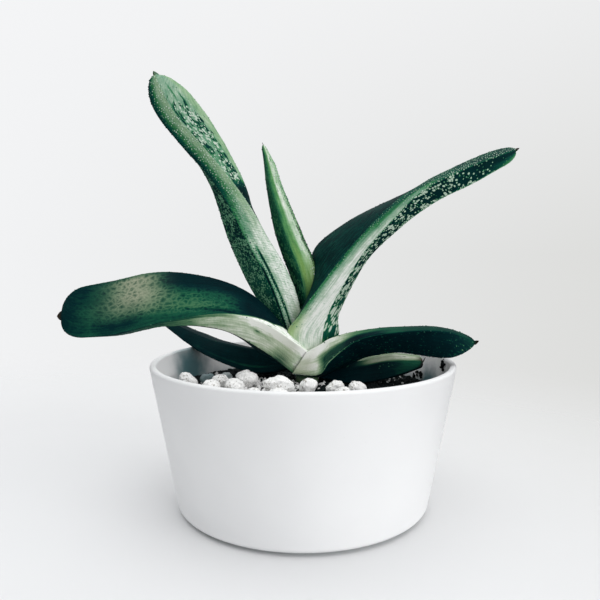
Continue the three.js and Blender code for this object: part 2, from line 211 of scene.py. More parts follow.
bpy.context.scene.view_settings.view_transform = "Standard"
place_camera()
area_light("window", (3.0, -0.8, 0.96), (2.2, 2.2), 15.5, (1.0, 0.995, 0.985))
area_light("front_bounce", (2.1, -2.2, 0.85), (2.4, 1.6), 45.0, (1.0, 1.0, 1.0))
make_room()
make_floor()

# ---------------------------------------------------------------- pot
# A low tapered planter of white porcelain with a soft matt glaze, thrown and turned, with an even
# rounded lip and a narrow foot that lifts the heel just off the table.

POT_HEIGHT = 62
RIM_RADIUS = 65
HEEL_RADIUS = 53.8
POT_WALL = 2.8
LIP_ROUND = 1.1
HEEL_ROUND = 2.2
FOOT_RADIUS = 50
FOOT_HEIGHT = 1.3
FLOOR_TOP = 5
POT_SIDES = 240


def outer_radius(z):
    return HEEL_RADIUS + (z - FOOT_HEIGHT) * (RIM_RADIUS - HEEL_RADIUS) / (POT_HEIGHT - FOOT_HEIGHT)


def inner_radius(z):
    return outer_radius(z) - POT_WALL


def arc(centre_r, centre_z, radius, start, end, steps):
    angles = np.radians(np.linspace(start, end, steps + 1))
    return [(centre_r + radius * math.cos(a), centre_z + radius * math.sin(a)) for a in angles]


def line(begin, end, steps):
    """Points between two places on a profile, without the ends."""
    return [tuple(np.array(begin) + (np.array(end) - np.array(begin)) * i / steps)
            for i in range(1, steps)]


def new_piece(name, points, faces):
    """A smooth-shaded mesh object from points in millimetres."""
    mesh = bpy.data.meshes.new(name)
    mesh.from_pydata((np.asarray(points) * MM).tolist(), [], faces)
    mesh.polygons.foreach_set("use_smooth", [True] * len(mesh.polygons))
    return shown(name, mesh)


def turned(profile, sides):
    """Points and faces of a shape turned about +Z; the profile starts and ends on the axis."""
    angles = np.linspace(0, 2 * math.pi, sides, endpoint=False)
    inner = profile[1:-1]
    points = [(r * math.cos(a), r * math.sin(a), z) for r, z in inner for a in angles]
    first, last = len(points), len(points) + 1
    points += [(0, 0, profile[0][1]), (0, 0, profile[-1][1])]
    faces = []
    top = (len(inner) - 1) * sides
    for s in range(sides):
        n = (s + 1) % sides
        faces.append([first, n, s])
        faces.append([last, top + s, top + n])
        for row in range(0, top, sides):
            faces.append([row + s, row + n, row + sides + n, row + sides + s])
    return points, faces


def make_pot():
    heel_z = FOOT_HEIGHT + HEEL_ROUND
    lip_z = POT_HEIGHT - LIP_ROUND
    cove_z = FLOOR_TOP + HEEL_ROUND
    heel = arc(outer_radius(heel_z) - HEEL_ROUND, heel_z, HEEL_ROUND, -90, 0, 10)
    lip = (arc(outer_radius(lip_z) - LIP_ROUND, lip_z, LIP_ROUND, 0, 90, 8)
           + arc(inner_radius(lip_z) + LIP_ROUND, lip_z, LIP_ROUND, 90, 180, 8))
    cove = arc(inner_radius(cove_z) - HEEL_ROUND, cove_z, HEEL_ROUND, 0, -90, 6)
    profile = ([(0, 0)] + line((0, 0), (FOOT_RADIUS, 0), 4)
               + [(FOOT_RADIUS - 0.3, 0), (FOOT_RADIUS, 0.3), (FOOT_RADIUS, FOOT_HEIGHT)]
               + heel + line(heel[-1], lip[0], 14) + lip + line(lip[-1], cove[0], 8) + cove
               + [(0, FLOOR_TOP)])
    return new_piece("pot_body", *turned(profile, POT_SIDES))


def noise_value(where, scale, detail=2.0, roughness=0.5, output="Fac", **inputs):
    return wire(where.tree, "ShaderNodeTexNoise", output,
                {"Vector": where, "Scale": scale, "Detail": detail, "Roughness": roughness, **inputs})


def remap(value, low, high, to_low=0.0, to_high=1.0, smooth=False):
    return wire(value.tree, "ShaderNodeMapRange", 0,
                {"Value": value, "From Min": low, "From Max": high,
                 "To Min": to_low, "To Max": to_high},
                interpolation_type="SMOOTHSTEP" if smooth else "LINEAR")


def surface(made, colour, roughness, height, depth_mm, strength, specular=0.5, **more):
    """Gives a material its shader, with the height pressed in as fine relief."""
    tree = made.node_tree
    relief = wire(tree, "ShaderNodeBump", 0,
                  {"Height": height, "Distance": depth_mm * MM, "Strength": strength})
    shader = wire(tree, "ShaderNodeBsdfPrincipled", 0,
                  {"Base Color": colour, "Roughness": roughness, "Normal": relief,
                   "Specular IOR Level": specular, **more})
    add_node(tree, "ShaderNodeOutputMaterial", {"Surface": shader})
    return made


# Shade painted inside the wall: a darker band just above the soil, and the shadows that two leaves cast
# on the wall, each given by its middle and reach.
WALL_SHADOW_PLACES = ((-54.5, 28, 52.0), 15.5), ((57, 14, 46.5), 8.5)           # middle and reach
WALL_SHADE_LINE = (0.0515, 0.056)        # heights between which the painted shade above the soil thins out


def painted_wall_shade(place):
    """1 where dark shade is painted inside the wall, above the soil: a band along the soil and two leaf
    shadows.
    """
    x, y, z = axes_of(place)
    flat = wire(place.tree, "ShaderNodeCombineXYZ", 0, {0: x, 1: y})
    slope = (RIM_RADIUS - HEEL_RADIUS) / (POT_HEIGHT - FOOT_HEIGHT)
    mid_wall = z * slope + (outer_radius(0) - POT_WALL / 2) * MM
    inside = flat.vector("LENGTH", output="Value").math("LESS_THAN", mid_wall)
    ragged = noise_value(place, 180.0, 3.0) * 0.008
    wall_shade = remap(z + ragged, *WALL_SHADE_LINE, 0.35, 0.0, smooth=True)
    for middle, reach in WALL_SHADOW_PLACES:
        away = place.vector("DISTANCE", tuple(c * MM for c in middle), "Value")
        wall_shade = wall_shade.math("MAXIMUM", remap(away - ragged, 0.0, reach * MM, 1.0, 0.0, smooth=True))
    return wall_shade * inside


def glaze_material():
    made, place = blank_material("white glaze")
    broad = noise_value(place, 22.0)
    tint = mix_colour(remap(broad, 0.35, 0.65, smooth=True),
                      (0.88, 0.885, 0.892, 1), (0.915, 0.92, 0.925, 1))
    pits = wire(place.tree, "ShaderNodeTexVoronoi", "Distance", {"Vector": place, "Scale": 260.0})
    colour = mix_colour(pits.math("LESS_THAN", 0.035) * 0.25, tint, (0.55, 0.54, 0.52, 1))
    # Painted shade: the inside of the wall turns dark teal along the soil and where leaves cast their
    # shadows.
    colour = mix_colour(painted_wall_shade(place) * 0.92, colour, (0.007, 0.12, 0.14, 1))
    return surface(made, colour, remap(broad, 0.3, 0.7, 0.42, 0.55),
                   broad * 0.8 + noise_value(place, 900.0) * 0.12, 0.12, 0.35, 0.35)


def settle(piece, slot_name, *nodes):
    """Every piece rides on the one body, and the parts of the frame that it stands for are hidden; the
    slot name is not used.
    """
    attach(piece, "root")
    if nodes:
        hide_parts(*nodes)


pot_body = make_pot()
pot_body.data.materials.append(glaze_material())
settle(pot_body, "pot_white", "pot")

# ---------------------------------------------------------------- soil
# A dark, open potting mix of bark crumbs and coir, heaped slightly round the stem, with a few white
# grains of perlite. Crumbs lie loose on top, and some have stuck to the inside of the wall.

SOIL_AT_WALL = 48.5
SOIL_CROWN = 51.5
SOIL_MOUND = 1.6
SOIL_GAP = 0.3
SOIL_SIDES = 200
SOIL_RINGS = 60
SOIL_ROUGHNESS = 0.55
SOIL_TOP, SOIL_BARE = SOIL_AT_WALL - 0.5, SOIL_AT_WALL - 1.5             # its top lies above these
SOIL_TONES = (0.32, (0.002, 0.006, 0.007)), (0.75, (0.011, 0.017, 0.017))
SOIL_EDGE = inner_radius(SOIL_AT_WALL) - SOIL_GAP


def soil_height(r):
    share = np.minimum(r / inner_radius(SOIL_AT_WALL), 1)
    return SOIL_CROWN - (SOIL_CROWN - SOIL_AT_WALL) * share ** SOIL_MOUND


def make_soil():
    cove_z = FLOOR_TOP + HEEL_ROUND
    cove = arc(inner_radius(cove_z) - HEEL_ROUND, cove_z, HEEL_ROUND - SOIL_GAP, -90, 0, 4)
    radii = SOIL_EDGE * np.linspace(1, 0, SOIL_RINGS + 1)[:-1]
    profile = ([(0, FLOOR_TOP + SOIL_GAP)] + cove + [(r, soil_height(r)) for r in radii]
               + [(0, SOIL_CROWN)])
    points, faces = turned(profile, SOIL_SIDES)
    points = np.array(points)
    for p in points:
        if p[2] > SOIL_TOP:
            lumps = noise.fractal(Vector(p) * 0.35, 1.0, 2.0, 4) * SOIL_ROUGHNESS
            p[2] += lumps - SOIL_ROUGHNESS * 0.5
    return new_piece("soil_bed", points, faces)


def colour_ramp(value, tones):
    """Colours between (place, colour) pairs."""
    ramp = add_node(value.tree, "ShaderNodeValToRGB", {0: value})
    stops = ramp.color_ramp.elements
    while len(stops) < len(tones):
        stops.new(0.5)
    for stop, (at, colour) in zip(stops, tones):
        stop.position, stop.color = at, (*colour, 1)
    return Wire(ramp.outputs[0])


def soil_material():
    made, place = blank_material("dark potting mix")
    clumps = noise_value(place, 420.0, 4.0, 0.65)
    fine = noise_value(place, 2200.0)
    return surface(made, colour_ramp(clumps, SOIL_TONES), remap(fine, 0.3, 0.7, 0.8, 1.0),
                   fine * 0.4 + clumps, 0.6, 0.8, 0.15)


def node_group(name, kind, inputs, outputs):
    """A group's tree and its inputs; inputs and outputs say {label: kind of socket}."""
    tree = bpy.data.node_groups.new(name, kind + "NodeTree")
    for way, sockets in (("INPUT", inputs), ("OUTPUT", outputs)):
        for label, socket in sockets.items():
            tree.interface.new_socket(label, in_out=way, socket_type="NodeSocket" + socket)
    given = add_node(tree, "NodeGroupInput")
    return tree, {label: Wire(given.outputs[label]) for label in inputs}


def give_out(value):
    """Ends a group, with the value as its one output."""
    add_node(value.tree, "NodeGroupOutput", {0: value})
    return value.tree


def random_field(tree, low, high, seed, kind="FLOAT"):
    made = add_node(tree, "FunctionNodeRandomValue", {"Seed": seed}, data_type=kind)
    sockets = [s for s in made.inputs if s.enabled]
    sockets[0].default_value, sockets[1].default_value = low, high
    return Wire([s for s in made.outputs if s.enabled][0])


def growth_tree(name, chosen, density, length, smallest, seed, tumbled):
    """Lumps all over a surface, thickest where the value called chosen is high. Tumbled lumps are
    dented and lie any way up; others are smooth and stand on the surface."""
    tree, given = node_group(
        name, "Geometry", {"Geometry": "Geometry", "Spacing": "Float", "Size": "Float",
                           "Flatness": "Float", "Seed": "Int", "Material": "Material"},
        {"Geometry": "Geometry"})
    wanted = wire(tree, "GeometryNodeInputNamedAttribute", "Attribute", {"Name": chosen},
                  data_type="FLOAT")
    spread = add_node(tree, "GeometryNodeDistributePointsOnFaces",
                      {"Mesh": given["Geometry"], "Distance Min": given["Spacing"],
                       "Density Max": density, "Density Factor": wanted, "Seed": given["Seed"]},
                      distribute_method="POISSON").outputs
    lump = wire(tree, "GeometryNodeMeshIcoSphere", "Mesh", {"Radius": 1.0, "Subdivisions": 1})
    if tumbled:
        dent = random_field(tree, (-0.3, -0.3, -0.3), (0.3, 0.3, 0.3), 5, "FLOAT_VECTOR")
        lump = wire(tree, "GeometryNodeSetPosition", 0, {"Geometry": lump, "Offset": dent})
        turn = random_field(tree, (0, 0, 0), (6.28, 6.28, 6.28), 7, "FLOAT_VECTOR")
    else:
        lump = wire(tree, "GeometryNodeSetShadeSmooth", 0, {0: lump})
        turn = Wire(spread["Rotation"])
    shape = wire(tree, "ShaderNodeCombineXYZ", 0, {0: 1.0, 1: length, 2: given["Flatness"]})
    lump = wire(tree, "GeometryNodeTransform", 0, {"Geometry": lump, "Scale": shape})
    placed = wire(tree, "GeometryNodeInstanceOnPoints", 0,
                  {"Points": Wire(spread["Points"]), "Instance": lump, "Rotation": turn,
                   "Scale": random_field(tree, smallest, 1.0, seed) * given["Size"]})
    real = wire(tree, "GeometryNodeRealizeInstances", 0, {0: placed})
    return give_out(wire(tree, "GeometryNodeSetMaterial", 0,
                         {"Geometry": real, "Material": given["Material"]}))


def grown_piece(name, ground, tree, spacing, size, flatness, seed, material):
    """What the tree grows on a ground mesh, as a plain mesh object; sizes are in millimetres."""
    source = shown("ground", ground)
    modifier = source.modifiers.new("grow", "NODES")
    modifier.node_group = tree
    values = {"Spacing": spacing * MM, "Size": size * MM, "Flatness": flatness, "Seed": seed,
              "Material": material}
    for item in tree.interface.items_tree:
        if item.in_out == "INPUT" and item.name in values:
            modifier[item.identifier] = values[item.name]
    graph = bpy.context.evaluated_depsgraph_get()
    mesh = bpy.data.meshes.new_from_object(source.evaluated_get(graph), depsgraph=graph)
    mesh.name = name
    bpy.data.objects.remove(source)
    return shown(name, mesh)


def strew(name, keep, spacing, size, flatness, seed, material, slot_name):
    """Lumps over the soil, thickest where keep(x, y) is high, in millimetres."""
    ground = soil_bed.data.copy()
    place = np.zeros(len(ground.vertices) * 3)
    ground.vertices.foreach_get("co", place)
    place = place.reshape(-1, 3) / MM
    value = np.where(place[:, 2] > SOIL_BARE, keep(place[:, 0], place[:, 1]), 0.0)
    ground.attributes.new("strewn", "FLOAT", "POINT").data.foreach_set(
        "value", value.astype(np.float32))
    settle(grown_piece(name, ground, strewn_lumps, spacing, size, flatness, seed, material),
           slot_name)


def within_wall(x, y, margin):
    return np.hypot(x, y) < SOIL_EDGE - margin


soil_dark = soil_material()
soil_bed = make_soil()
soil_bed.data.materials.append(soil_dark)
strewn_lumps = growth_tree("strewn lumps", "strewn", 4.0e6, 1.0, 0.35, 9, tumbled=True)
settle(soil_bed, "soil_dark", "soil")
strew("soil_crumbs", lambda x, y: within_wall(x, y, 1.5) * 0.8, 1.5, 1.25, 0.7, 3, soil_dark,
      "soil_dark")


def perlite_material():
    made, place = blank_material("perlite")
    grain = noise_value(place, 1500.0, 3.0)
    tint = mix_colour(grain, (0.45, 0.47, 0.46, 1), (0.86, 0.86, 0.84, 1))
    return surface(made, tint, remap(grain, 0.3, 0.7, 0.75, 0.95), grain, 0.2, 0.7)


def perlite_places(x, y):
    """Perlite shows most in a patch at the right."""
    return within_wall(x, y, 2.5) * np.where((x > 33) & (x < 50), 0.25, 0.0)


strew("perlite_grains", perlite_places, 2.2, 0.75, 0.9, 11, perlite_material(), "marble")

STUCK_PLACES = ((61.0, 0.8, 58.6), (2.2, 1.5)), ((55.5, 24.0, 50.3), (3.4, 1.3))  # middle, spread
CRUMBS_EACH = 24
CRUMB_SIZES = (0.3, 0.8)


def shown_form(name, form):
    """A bmesh as a new object."""
    mesh = bpy.data.meshes.new(name)
    form.to_mesh(mesh)
    form.free()
    return shown(name, mesh)


def make_stuck_crumbs():
    """Two clots of soil crumbs pressed on the inside of the wall."""
    pick = random.Random(4)
    form = bmesh.new()
    for (x, y, z), (spread, rise) in STUCK_PLACES:
        middle = math.atan2(y, x)
        for _ in range(CRUMBS_EACH):
            size = pick.uniform(*CRUMB_SIZES)
            high = z + pick.gauss(0, rise * 0.6)
            turn = middle + pick.uniform(-spread, spread) / math.hypot(x, y)
            out = inner_radius(high) - size * 0.75
            lump = bmesh.ops.create_icosphere(form, subdivisions=1, radius=size * MM)["verts"]
            centre = Vector((out * math.cos(turn), out * math.sin(turn), high)) * MM
            for v in lump:
                v.co = centre + v.co * pick.uniform(0.75, 1.1)
    return shown_form("stuck_crumbs", form)


stuck_crumbs = make_stuck_crumbs()
stuck_crumbs.data.materials.append(soil_dark)
settle(stuck_crumbs, "soil_dark")

# ---------------------------------------------------------------- pebbles
# Tumbled chips of white marble, 7 to 13 mm, laid by hand over most of the soil. Their flats are worn
# soft, and each has its own faint grey clouding and rusty grit in its pits.

PEBBLE_LEVELS = 3
PEBBLE_WEAR = 3                    # rounds of smoothing
PEBBLE_FLATS, PEBBLE_PITS = 0.36, 0.5            # how many to the millimetre
PEBBLE_DENT = 0.3
# Painted shade: a few pebbles that lie in the shadow of the leaves take this much of a dark teal.
SHADED_PEBBLES = {"pebble_02": 0.95, "pebble_46": 0.75, "pebble_03": 0.12}


def attribute(tree, label):
    return wire(tree, "ShaderNodeAttribute", "Fac", attribute_name=label)


def marble_material():
    made, place = blank_material("white marble")
    clouds = noise_value(place, 210.0, 4.0, 0.6)
    warped = noise_value(place, 260.0, 3.0, Distortion=1.5)
    vein = remap((warped - 0.5).math("ABSOLUTE"), 0.0, 0.035, 1.0, 0.0, smooth=True)
    grit_noise = noise_value(place, 900.0, 3.0, 0.7)
    grit = (remap(grit_noise, 0.54, 0.62, smooth=True)
            * remap(noise_value(place, 160.0, 1.0), 0.42, 0.58, smooth=True))
    tint = mix_colour(remap(clouds, 0.4, 0.75, smooth=True),
                      (0.99, 0.985, 0.975, 1), (0.91, 0.91, 0.905, 1))
    tint = mix_colour(vein * 0.4, tint, (0.42, 0.43, 0.42, 1))
    tint = mix_colour(grit * 0.75, tint, (0.2, 0.165, 0.12, 1))
    # Painted shade on the pebbles that lie in the shadow of the leaves.
    tint = mix_colour(attribute(place.tree, "grey"), tint, (0.075, 0.135, 0.145, 1))
    return surface(made, tint, remap(clouds, 0.3, 0.7, 0.45, 0.7), grit_noise * 0.5 + clouds,
                   0.35, 0.5)


def smooth_chip(node_name, piece_name):
    """A pebble of the frame with its facets worn round and its skin slightly pitted."""
    form = bmesh.new()
    form.from_mesh(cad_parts[node_name].data)
    bmesh.ops.remove_doubles(form, verts=form.verts, dist=0.02 * MM)
    for _ in range(PEBBLE_LEVELS):
        bmesh.ops.subdivide_edges(form, edges=form.edges, cuts=1, use_grid_fill=True)
    for _ in range(PEBBLE_WEAR):
        bmesh.ops.smooth_vert(form, verts=form.verts, factor=0.5, use_axis_x=True,
                              use_axis_y=True, use_axis_z=True)
    low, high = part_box(node_name)
    for k in range(3):
        worn_low, worn_high = (end(v.co[k] for v in form.verts) for end in (min, max))
        for v in form.verts:
            share = (v.co[k] - worn_low) / (worn_high - worn_low)
            v.co[k] = low[k] + share * (high[k] - low[k])
    form.normal_update()
    for v in form.verts:
        at = v.co / MM
        chipped = noise.voronoi(at * PEBBLE_FLATS)[0]
        flats = (chipped[1] - chipped[0]) * 0.5 - 0.25
        dent = flats + noise.fractal(at * PEBBLE_PITS, 1.0, 2.0, 4) * 0.28
        v.co += v.normal * min(dent, PEBBLE_DENT) * MM
    piece = shown_form(piece_name, form)
    piece.data.polygons.foreach_set("use_smooth", [True] * len(piece.data.polygons))
    grey = [SHADED_PEBBLES.get(node_name, 0.0)] * len(piece.data.vertices)
    piece.data.attributes.new("grey", "FLOAT", "POINT").data.foreach_set("value", grey)
    return piece


white_marble = marble_material()
for pebble_node in sorted(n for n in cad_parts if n.startswith("pebble_")):
    chip = smooth_chip(pebble_node, pebble_node.replace("pebble", "marble_chip"))
    chip.data.materials.append(white_marble)
    settle(chip, "marble", pebble_node)


def grit_places(x, y):
    """Small chips lie thickest between the pebbles at the front left."""
    thick = np.where(x < -2, 0.85, 0.3) * (y < 4 - 0.4 * x) * (y < 8)
    return within_wall(x, y, 3.0) * (x < 12) * (thick + 0.03)


strew("marble_grit", grit_places, 2.3, 1.75, 0.8, 21, white_marble, "marble")

# ---------------------------------------------------------------- stem
# A short green stem that the leaf bases clasp, with pale old leaf scars round it and fleshy roots
# down in the soil.

STEM_BURIED = (0.049, 0.051)       # heights between which the root colour turns to green


def stem_material():
    made, place = blank_material("green stem")
    scars = wire(place.tree, "ShaderNodeTexWave", "Fac",
                 {"Vector": place, "Scale": 110.0, "Distortion": 3.0, "Detail": 2.0},
                 bands_direction="Z")
    blotch = noise_value(place, 300.0, 3.0)
    green = mix_colour(blotch, (0.01, 0.045, 0.026, 1), (0.05, 0.13, 0.06, 1))
    green = mix_colour(scars * 0.35, green, (0.22, 0.26, 0.15, 1))
    tint = mix_colour(remap(axes_of(place)[2], *STEM_BURIED, 1.0, 0.0), green, (0.3, 0.27, 0.18, 1))
    return surface(made, tint, remap(blotch, 0.3, 0.7, 0.5, 0.7), scars, 0.4, 0.5, 0.25)


stem_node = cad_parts["stem_with_roots"]
stem_node.data.materials.clear()
stem_node.data.materials.append(stem_material())

# ---------------------------------------------------------------- low right leaf
# The lowest leaf on the right: a dark tongue that arches out over the rim, with a short pale base, a
# narrow green keel and a hard dark point. Its flesh is firm, and its skin waxy and minutely rough.

LEAF_RINGS = 300
TIP_CROWDING = 1.6                 # the rings lie closer together towards the tip
POINT_RINGS = 8
POINT_TAPER = 1.7
POINT_END = 0.03
COLUMN_CROWDING = 0.6              # and the columns towards the edges of a face
FACE_COLUMNS = (30, 24, 30, 14)
FACE_BULGE = (0.05, 0.04, 0.05, 0.03)
EDGE_ROUND, ROUND_SHARE = 0.75, 0.3              # the rounding, at most this share of a face
TIP_POWER = 2.3
TIP_END = 0.2
POINT_SMOOTH = 2.0                 # the relief dies away this far before the point


def rail_at(stops, t):
    """Points on the smooth curve through a rail's stations, for t from 0 to 1."""
    stops = np.asarray(stops, float)
    spans = len(stops) - 1
    at = np.clip(t * spans, 0, spans)
    low = np.minimum(at.astype(int), spans - 1)
    w = (at - low)[:, None]
    ends = np.vstack([2 * stops[0] - stops[1], stops, 2 * stops[-1] - stops[-2]])
    p0, p1, p2, p3 = (ends[low + k] for k in range(4))
    out, into = (p2 - p0) / 2, (p3 - p1) / 2
    return (p1 + out * w + (3 * (p2 - p1) - 2 * out - into) * w ** 2
            + (2 * (p1 - p2) + out + into) * w ** 3)


def outline_middle(corners):
    total, weight = 0, 0
    for a, b in zip(corners, corners[1:] + corners[:1]):
        length = np.linalg.norm(b - a, axis=1)[:, None]
        total = total + (a + b) * length / 2
        weight = weight + length
    return total / weight


def unit(v):
    return v / np.maximum(np.linalg.norm(v, axis=-1, keepdims=True), 1e-9)


class LeafForm:
    """The skin of a keeled leaf between four rails: margin, keel edge, keel edge, margin.
    points is rings x columns x 3 in millimetres; face and share say where a column lies."""

    def __init__(self, stations, tip_length, point, blunt=TIP_POWER):
        u = np.linspace(0, 1, LEAF_RINGS)
        t = 1 - (1 - u) ** TIP_CROWDING
        corners = [rail_at([s[k] for s in stations], t) for k in range(4)]
        middle = outline_middle(corners)
        widths = [np.linalg.norm(corners[(k + 1) % 4] - corners[k], axis=1) for k in range(4)]
        share, face, columns = [], [], []
        for k, count in enumerate(FACE_COLUMNS):
            for i in range(count):
                even = i / count
                share.append((1 - COLUMN_CROWDING) * even
                             + COLUMN_CROWDING * (1 - math.cos(math.pi * even)) / 2)
                face.append(k)
                columns.append(self.on_skin(corners, middle, widths, k, share[-1]))
        points = np.stack(columns, axis=1)
        past = 1 - np.minimum(np.linalg.norm(middle - middle[-1], axis=1) / tip_length, 1)
        size = np.maximum((1 - past ** blunt) ** (1 / blunt), TIP_END)
        points = middle[:, None] + (points - middle[:, None]) * size[:, None, None]
        step = np.linalg.norm(np.diff(middle, axis=0), axis=1)
        self.along = np.concatenate([[0], np.cumsum(step)])
        self.length = self.along[-1]
        self.share, self.face = np.array(share), np.array(face)
        self.widths = np.stack(widths) * size
        self.points = points
        self.add_point(middle[-1], np.array(point, float))

    @staticmethod
    def face_point(corners, middle, widths, k, share):
        a, b = corners[k], corners[(k + 1) % 4]
        way = unit(b - a)
        out = (a + b) / 2 - middle
        out = unit(out - (out * way).sum(1)[:, None] * way)
        share = np.broadcast_to(share, len(a))[:, None]
        rise = FACE_BULGE[k] * widths[k][:, None] * 4 * share * (1 - share)
        return a + (b - a) * share + out * rise

    def on_skin(self, corners, middle, widths, k, share):
        """A point on face k, with the edges between the faces rounded off."""
        flat = self.face_point(corners, middle, widths, k, share)
        result = flat.copy()
        for near, other, distance in ((0, (k - 1) % 4, share), (1, (k + 1) % 4, 1 - share)):
            narrower = np.minimum(widths[k], widths[other])
            reach = np.minimum(EDGE_ROUND, ROUND_SHARE * narrower)
            corner = corners[(k + near) % 4]
            inside = reach / widths[k]
            mine = self.face_point(corners, middle, widths, k, np.abs(near - inside))
            beyond = reach / widths[other]
            theirs = self.face_point(corners, middle, widths, other, np.abs((1 - near) - beyond))
            q = (0.5 + 0.5 * distance * widths[k] / reach)[:, None]
            curve = (1 - q) ** 2 * theirs + 2 * q * (1 - q) * corner + q ** 2 * mine
            result = np.where(q < 1, curve, result)
        return result

    def add_point(self, tip, point):
        """Closes the tip and draws it out into the small hard point."""
        last = self.points[-1] - tip
        for i in range(1, POINT_RINGS + 1):
            q = i / POINT_RINGS
            size = (1 - q ** POINT_TAPER) * (1 - POINT_END) + POINT_END
            ring = tip + (point - tip) * q + last * size
            self.points = np.concatenate([self.points, ring[None]])
        extra = np.linspace(0, np.linalg.norm(point - tip), POINT_RINGS + 1)[1:]
        self.along = np.concatenate([self.along, self.length + extra])
        self.widths = np.concatenate(
            [self.widths, np.repeat(self.widths[:, -1:], POINT_RINGS, axis=1)], axis=1)

    def normals(self):
        round_way = np.roll(self.points, -1, axis=1) - np.roll(self.points, 1, axis=1)
        up_way = np.gradient(self.points, axis=0)
        out = unit(np.cross(round_way, up_way))
        middle = self.points.mean(axis=1, keepdims=True)
        inward = (out * (self.points - middle)).sum() < 0
        return -out if inward else out

    def run(self):
        """Millimetres round the section from the first keel edge, for each ring and column."""
        at = self.share[None] * self.widths[self.face].T
        before = np.stack([-self.widths[0], 0 * self.widths[0], self.widths[1],
                           self.widths[1] + self.widths[2]])
        return at + before[self.face].T

    def edge_distance(self):
        """Millimetres to the nearest edge between two faces."""
        width = self.widths[self.face].T
        return np.minimum(self.share, 1 - self.share)[None] * width

    def press(self, relief):
        """Moves the skin out by relief, in millimetres, except at the point."""
        fade = np.clip((self.length - self.along) / POINT_SMOOTH, 0, 1)[:, None, None]
        self.points = self.points + self.normals() * relief[..., None] * fade


SWELLS, RIBS, ROUGH_EDGES = (11.0, 0.28), (1.1, 0.05), (0.8, 0.28)       # how wide, how high
RIB_DRAW = 0.05                    # ribs are twenty times as long as wide
EDGE_REACH = 0.9


def field(points, scale, seed):
    """Smooth noise from about -1 to 1 at each point; scale is in millimetres."""
    shift = Vector((seed * 31.7, seed * 17.3, seed * 7.9))
    value = [noise.noise(Vector(p) + shift) for p in points.reshape(-1, 3) / scale]
    return np.array(value).reshape(points.shape[:-1])


def weathered(form, seed):
    """The unevenness that every leaf has: soft swells, fine lengthwise ribs and rough edges."""
    run, along = form.run(), form.along[:, None]
    swell = field(form.points, SWELLS[0], seed) * SWELLS[1]
    place = np.stack([run, along + 0 * run, 0 * run], axis=-1)
    ribs = field(place * (1.0, RIB_DRAW, 1.0), RIBS[0], seed + 1) * RIBS[1]
    near_edge = np.clip(1 - form.edge_distance() / EDGE_REACH, 0, 1)
    rough = np.abs(field(place, ROUGH_EDGES[0], seed + 2)) * near_edge * ROUGH_EDGES[1]
    return swell + ribs + rough


PAINTED = ("tone", "spots", "specks", "dashes", "net", "ribs", "warm", "horn", "beading",
           "bead_tone", "streaky")
SKINS_APART = 200.0                # between the leaves on the skin's map, so that no two match


def leaf_skin(name, form, paint, number, beads_from):
    """The leaf's mesh with its lengthwise UV map in millimetres and the painted values.
    paint(face, share, along) gives them for the corners of the faces, all at once; a value in four
    parts has one for each face of the leaf. Beads start at beads_from along the leaf."""
    rings, columns = form.points.shape[:2]
    vertex = np.arange(rings * columns).reshape(rings, columns)
    ahead = np.roll(vertex, -1, axis=1)
    quads = np.stack([vertex[:-1], ahead[:-1], ahead[1:], vertex[1:]], axis=-1)
    tried = LEAF_RINGS // 3
    corner = form.points[tried, 0]
    facing = np.cross(form.points[tried, 1] - corner, form.points[tried + 1, 0] - corner)
    outward = (facing * form.normals()[tried, 0]).sum() > 0
    order = [0, 1, 2, 3] if outward else [3, 2, 1, 0]
    faces = quads.reshape(-1, 4)[:, order].tolist()
    points = form.points.reshape(-1, 3)
    base, tip = len(points), len(points) + 1
    points = np.vstack([points, form.points[0].mean(0), form.points[-1].mean(0)])
    for c in range(columns):
        n = (c + 1) % columns
        ends = [base, n, c], [tip, vertex[-1, c], vertex[-1, n]]
        faces += ends if outward else [end[::-1] for end in ends]
    piece = new_piece(name, points, faces)
    mesh = piece.data

    share_ahead = np.where(np.roll(form.face, -1) == form.face, np.roll(form.share, -1), 1.0)
    run_here, width = form.run(), form.widths[form.face].T
    run_ahead = run_here + (share_ahead - form.share)[None] * width

    def at_corners(here, beyond=None):
        here = np.zeros((rings, columns)) + here
        beyond = here if beyond is None else np.zeros((rings, columns)) + beyond
        quad = np.stack([here[:-1], beyond[:-1], beyond[1:], here[1:]], axis=-1)
        return quad.reshape(-1, 4)[:, order].ravel()

    along = at_corners(form.along[:, None])
    share = at_corners(form.share, share_ahead)
    face = at_corners(form.face).astype(int)
    run = at_corners(run_here, run_ahead)
    sides, loops = len(run), len(mesh.loops)
    uv = np.zeros((loops, 2), np.float32)
    uv[:sides, 0], uv[:sides, 1] = run + SKINS_APART * number, along
    uv[sides:, 0] = SKINS_APART * number
    uv[sides:, 1] = np.tile([0.0, 0.0, 0.0] + [form.along[-1]] * 3, columns)
    mesh.uv_layers.new(name="skin").data.foreach_set("uv", uv.ravel())
    values = {"horn": horn_at(along, form.length), **paint(face, share, along)}
    for label in PAINTED:
        given = values.get(label, 0.0)
        if isinstance(given, tuple):
            given = np.choose(face, [np.broadcast_to(v, face.shape) for v in given])
        if label == "beading":
            given = given * (along > beads_from)
        value = np.zeros(loops, np.float32)
        value[:sides] = given
        if label in ("tone", "horn"):
            value[sides:] = value[sides - 4:sides].mean()
        mesh.attributes.new(label, "FLOAT", "CORNER").data.foreach_set("value", value)
    return piece


def keyed(x, *stops):
    """Straight-line steps between (place, value) pairs."""
    return np.interp(x, [s[0] for s in stops], [s[1] for s in stops])


def hump(x, centre, half_width):
    """1 at the centre, falling smoothly to 0."""
    near = np.clip(1 - np.abs(x - centre) / half_width, 0, 1)
    return near * near * (3 - 2 * near)


def skin_group(name, inputs, output):
    """A shader group that works on the skin's map, in millimetres."""
    return node_group(name, "Shader", {"Skin": "Vector", **{label: "Float" for label in inputs}},
                      {output: "Float"})


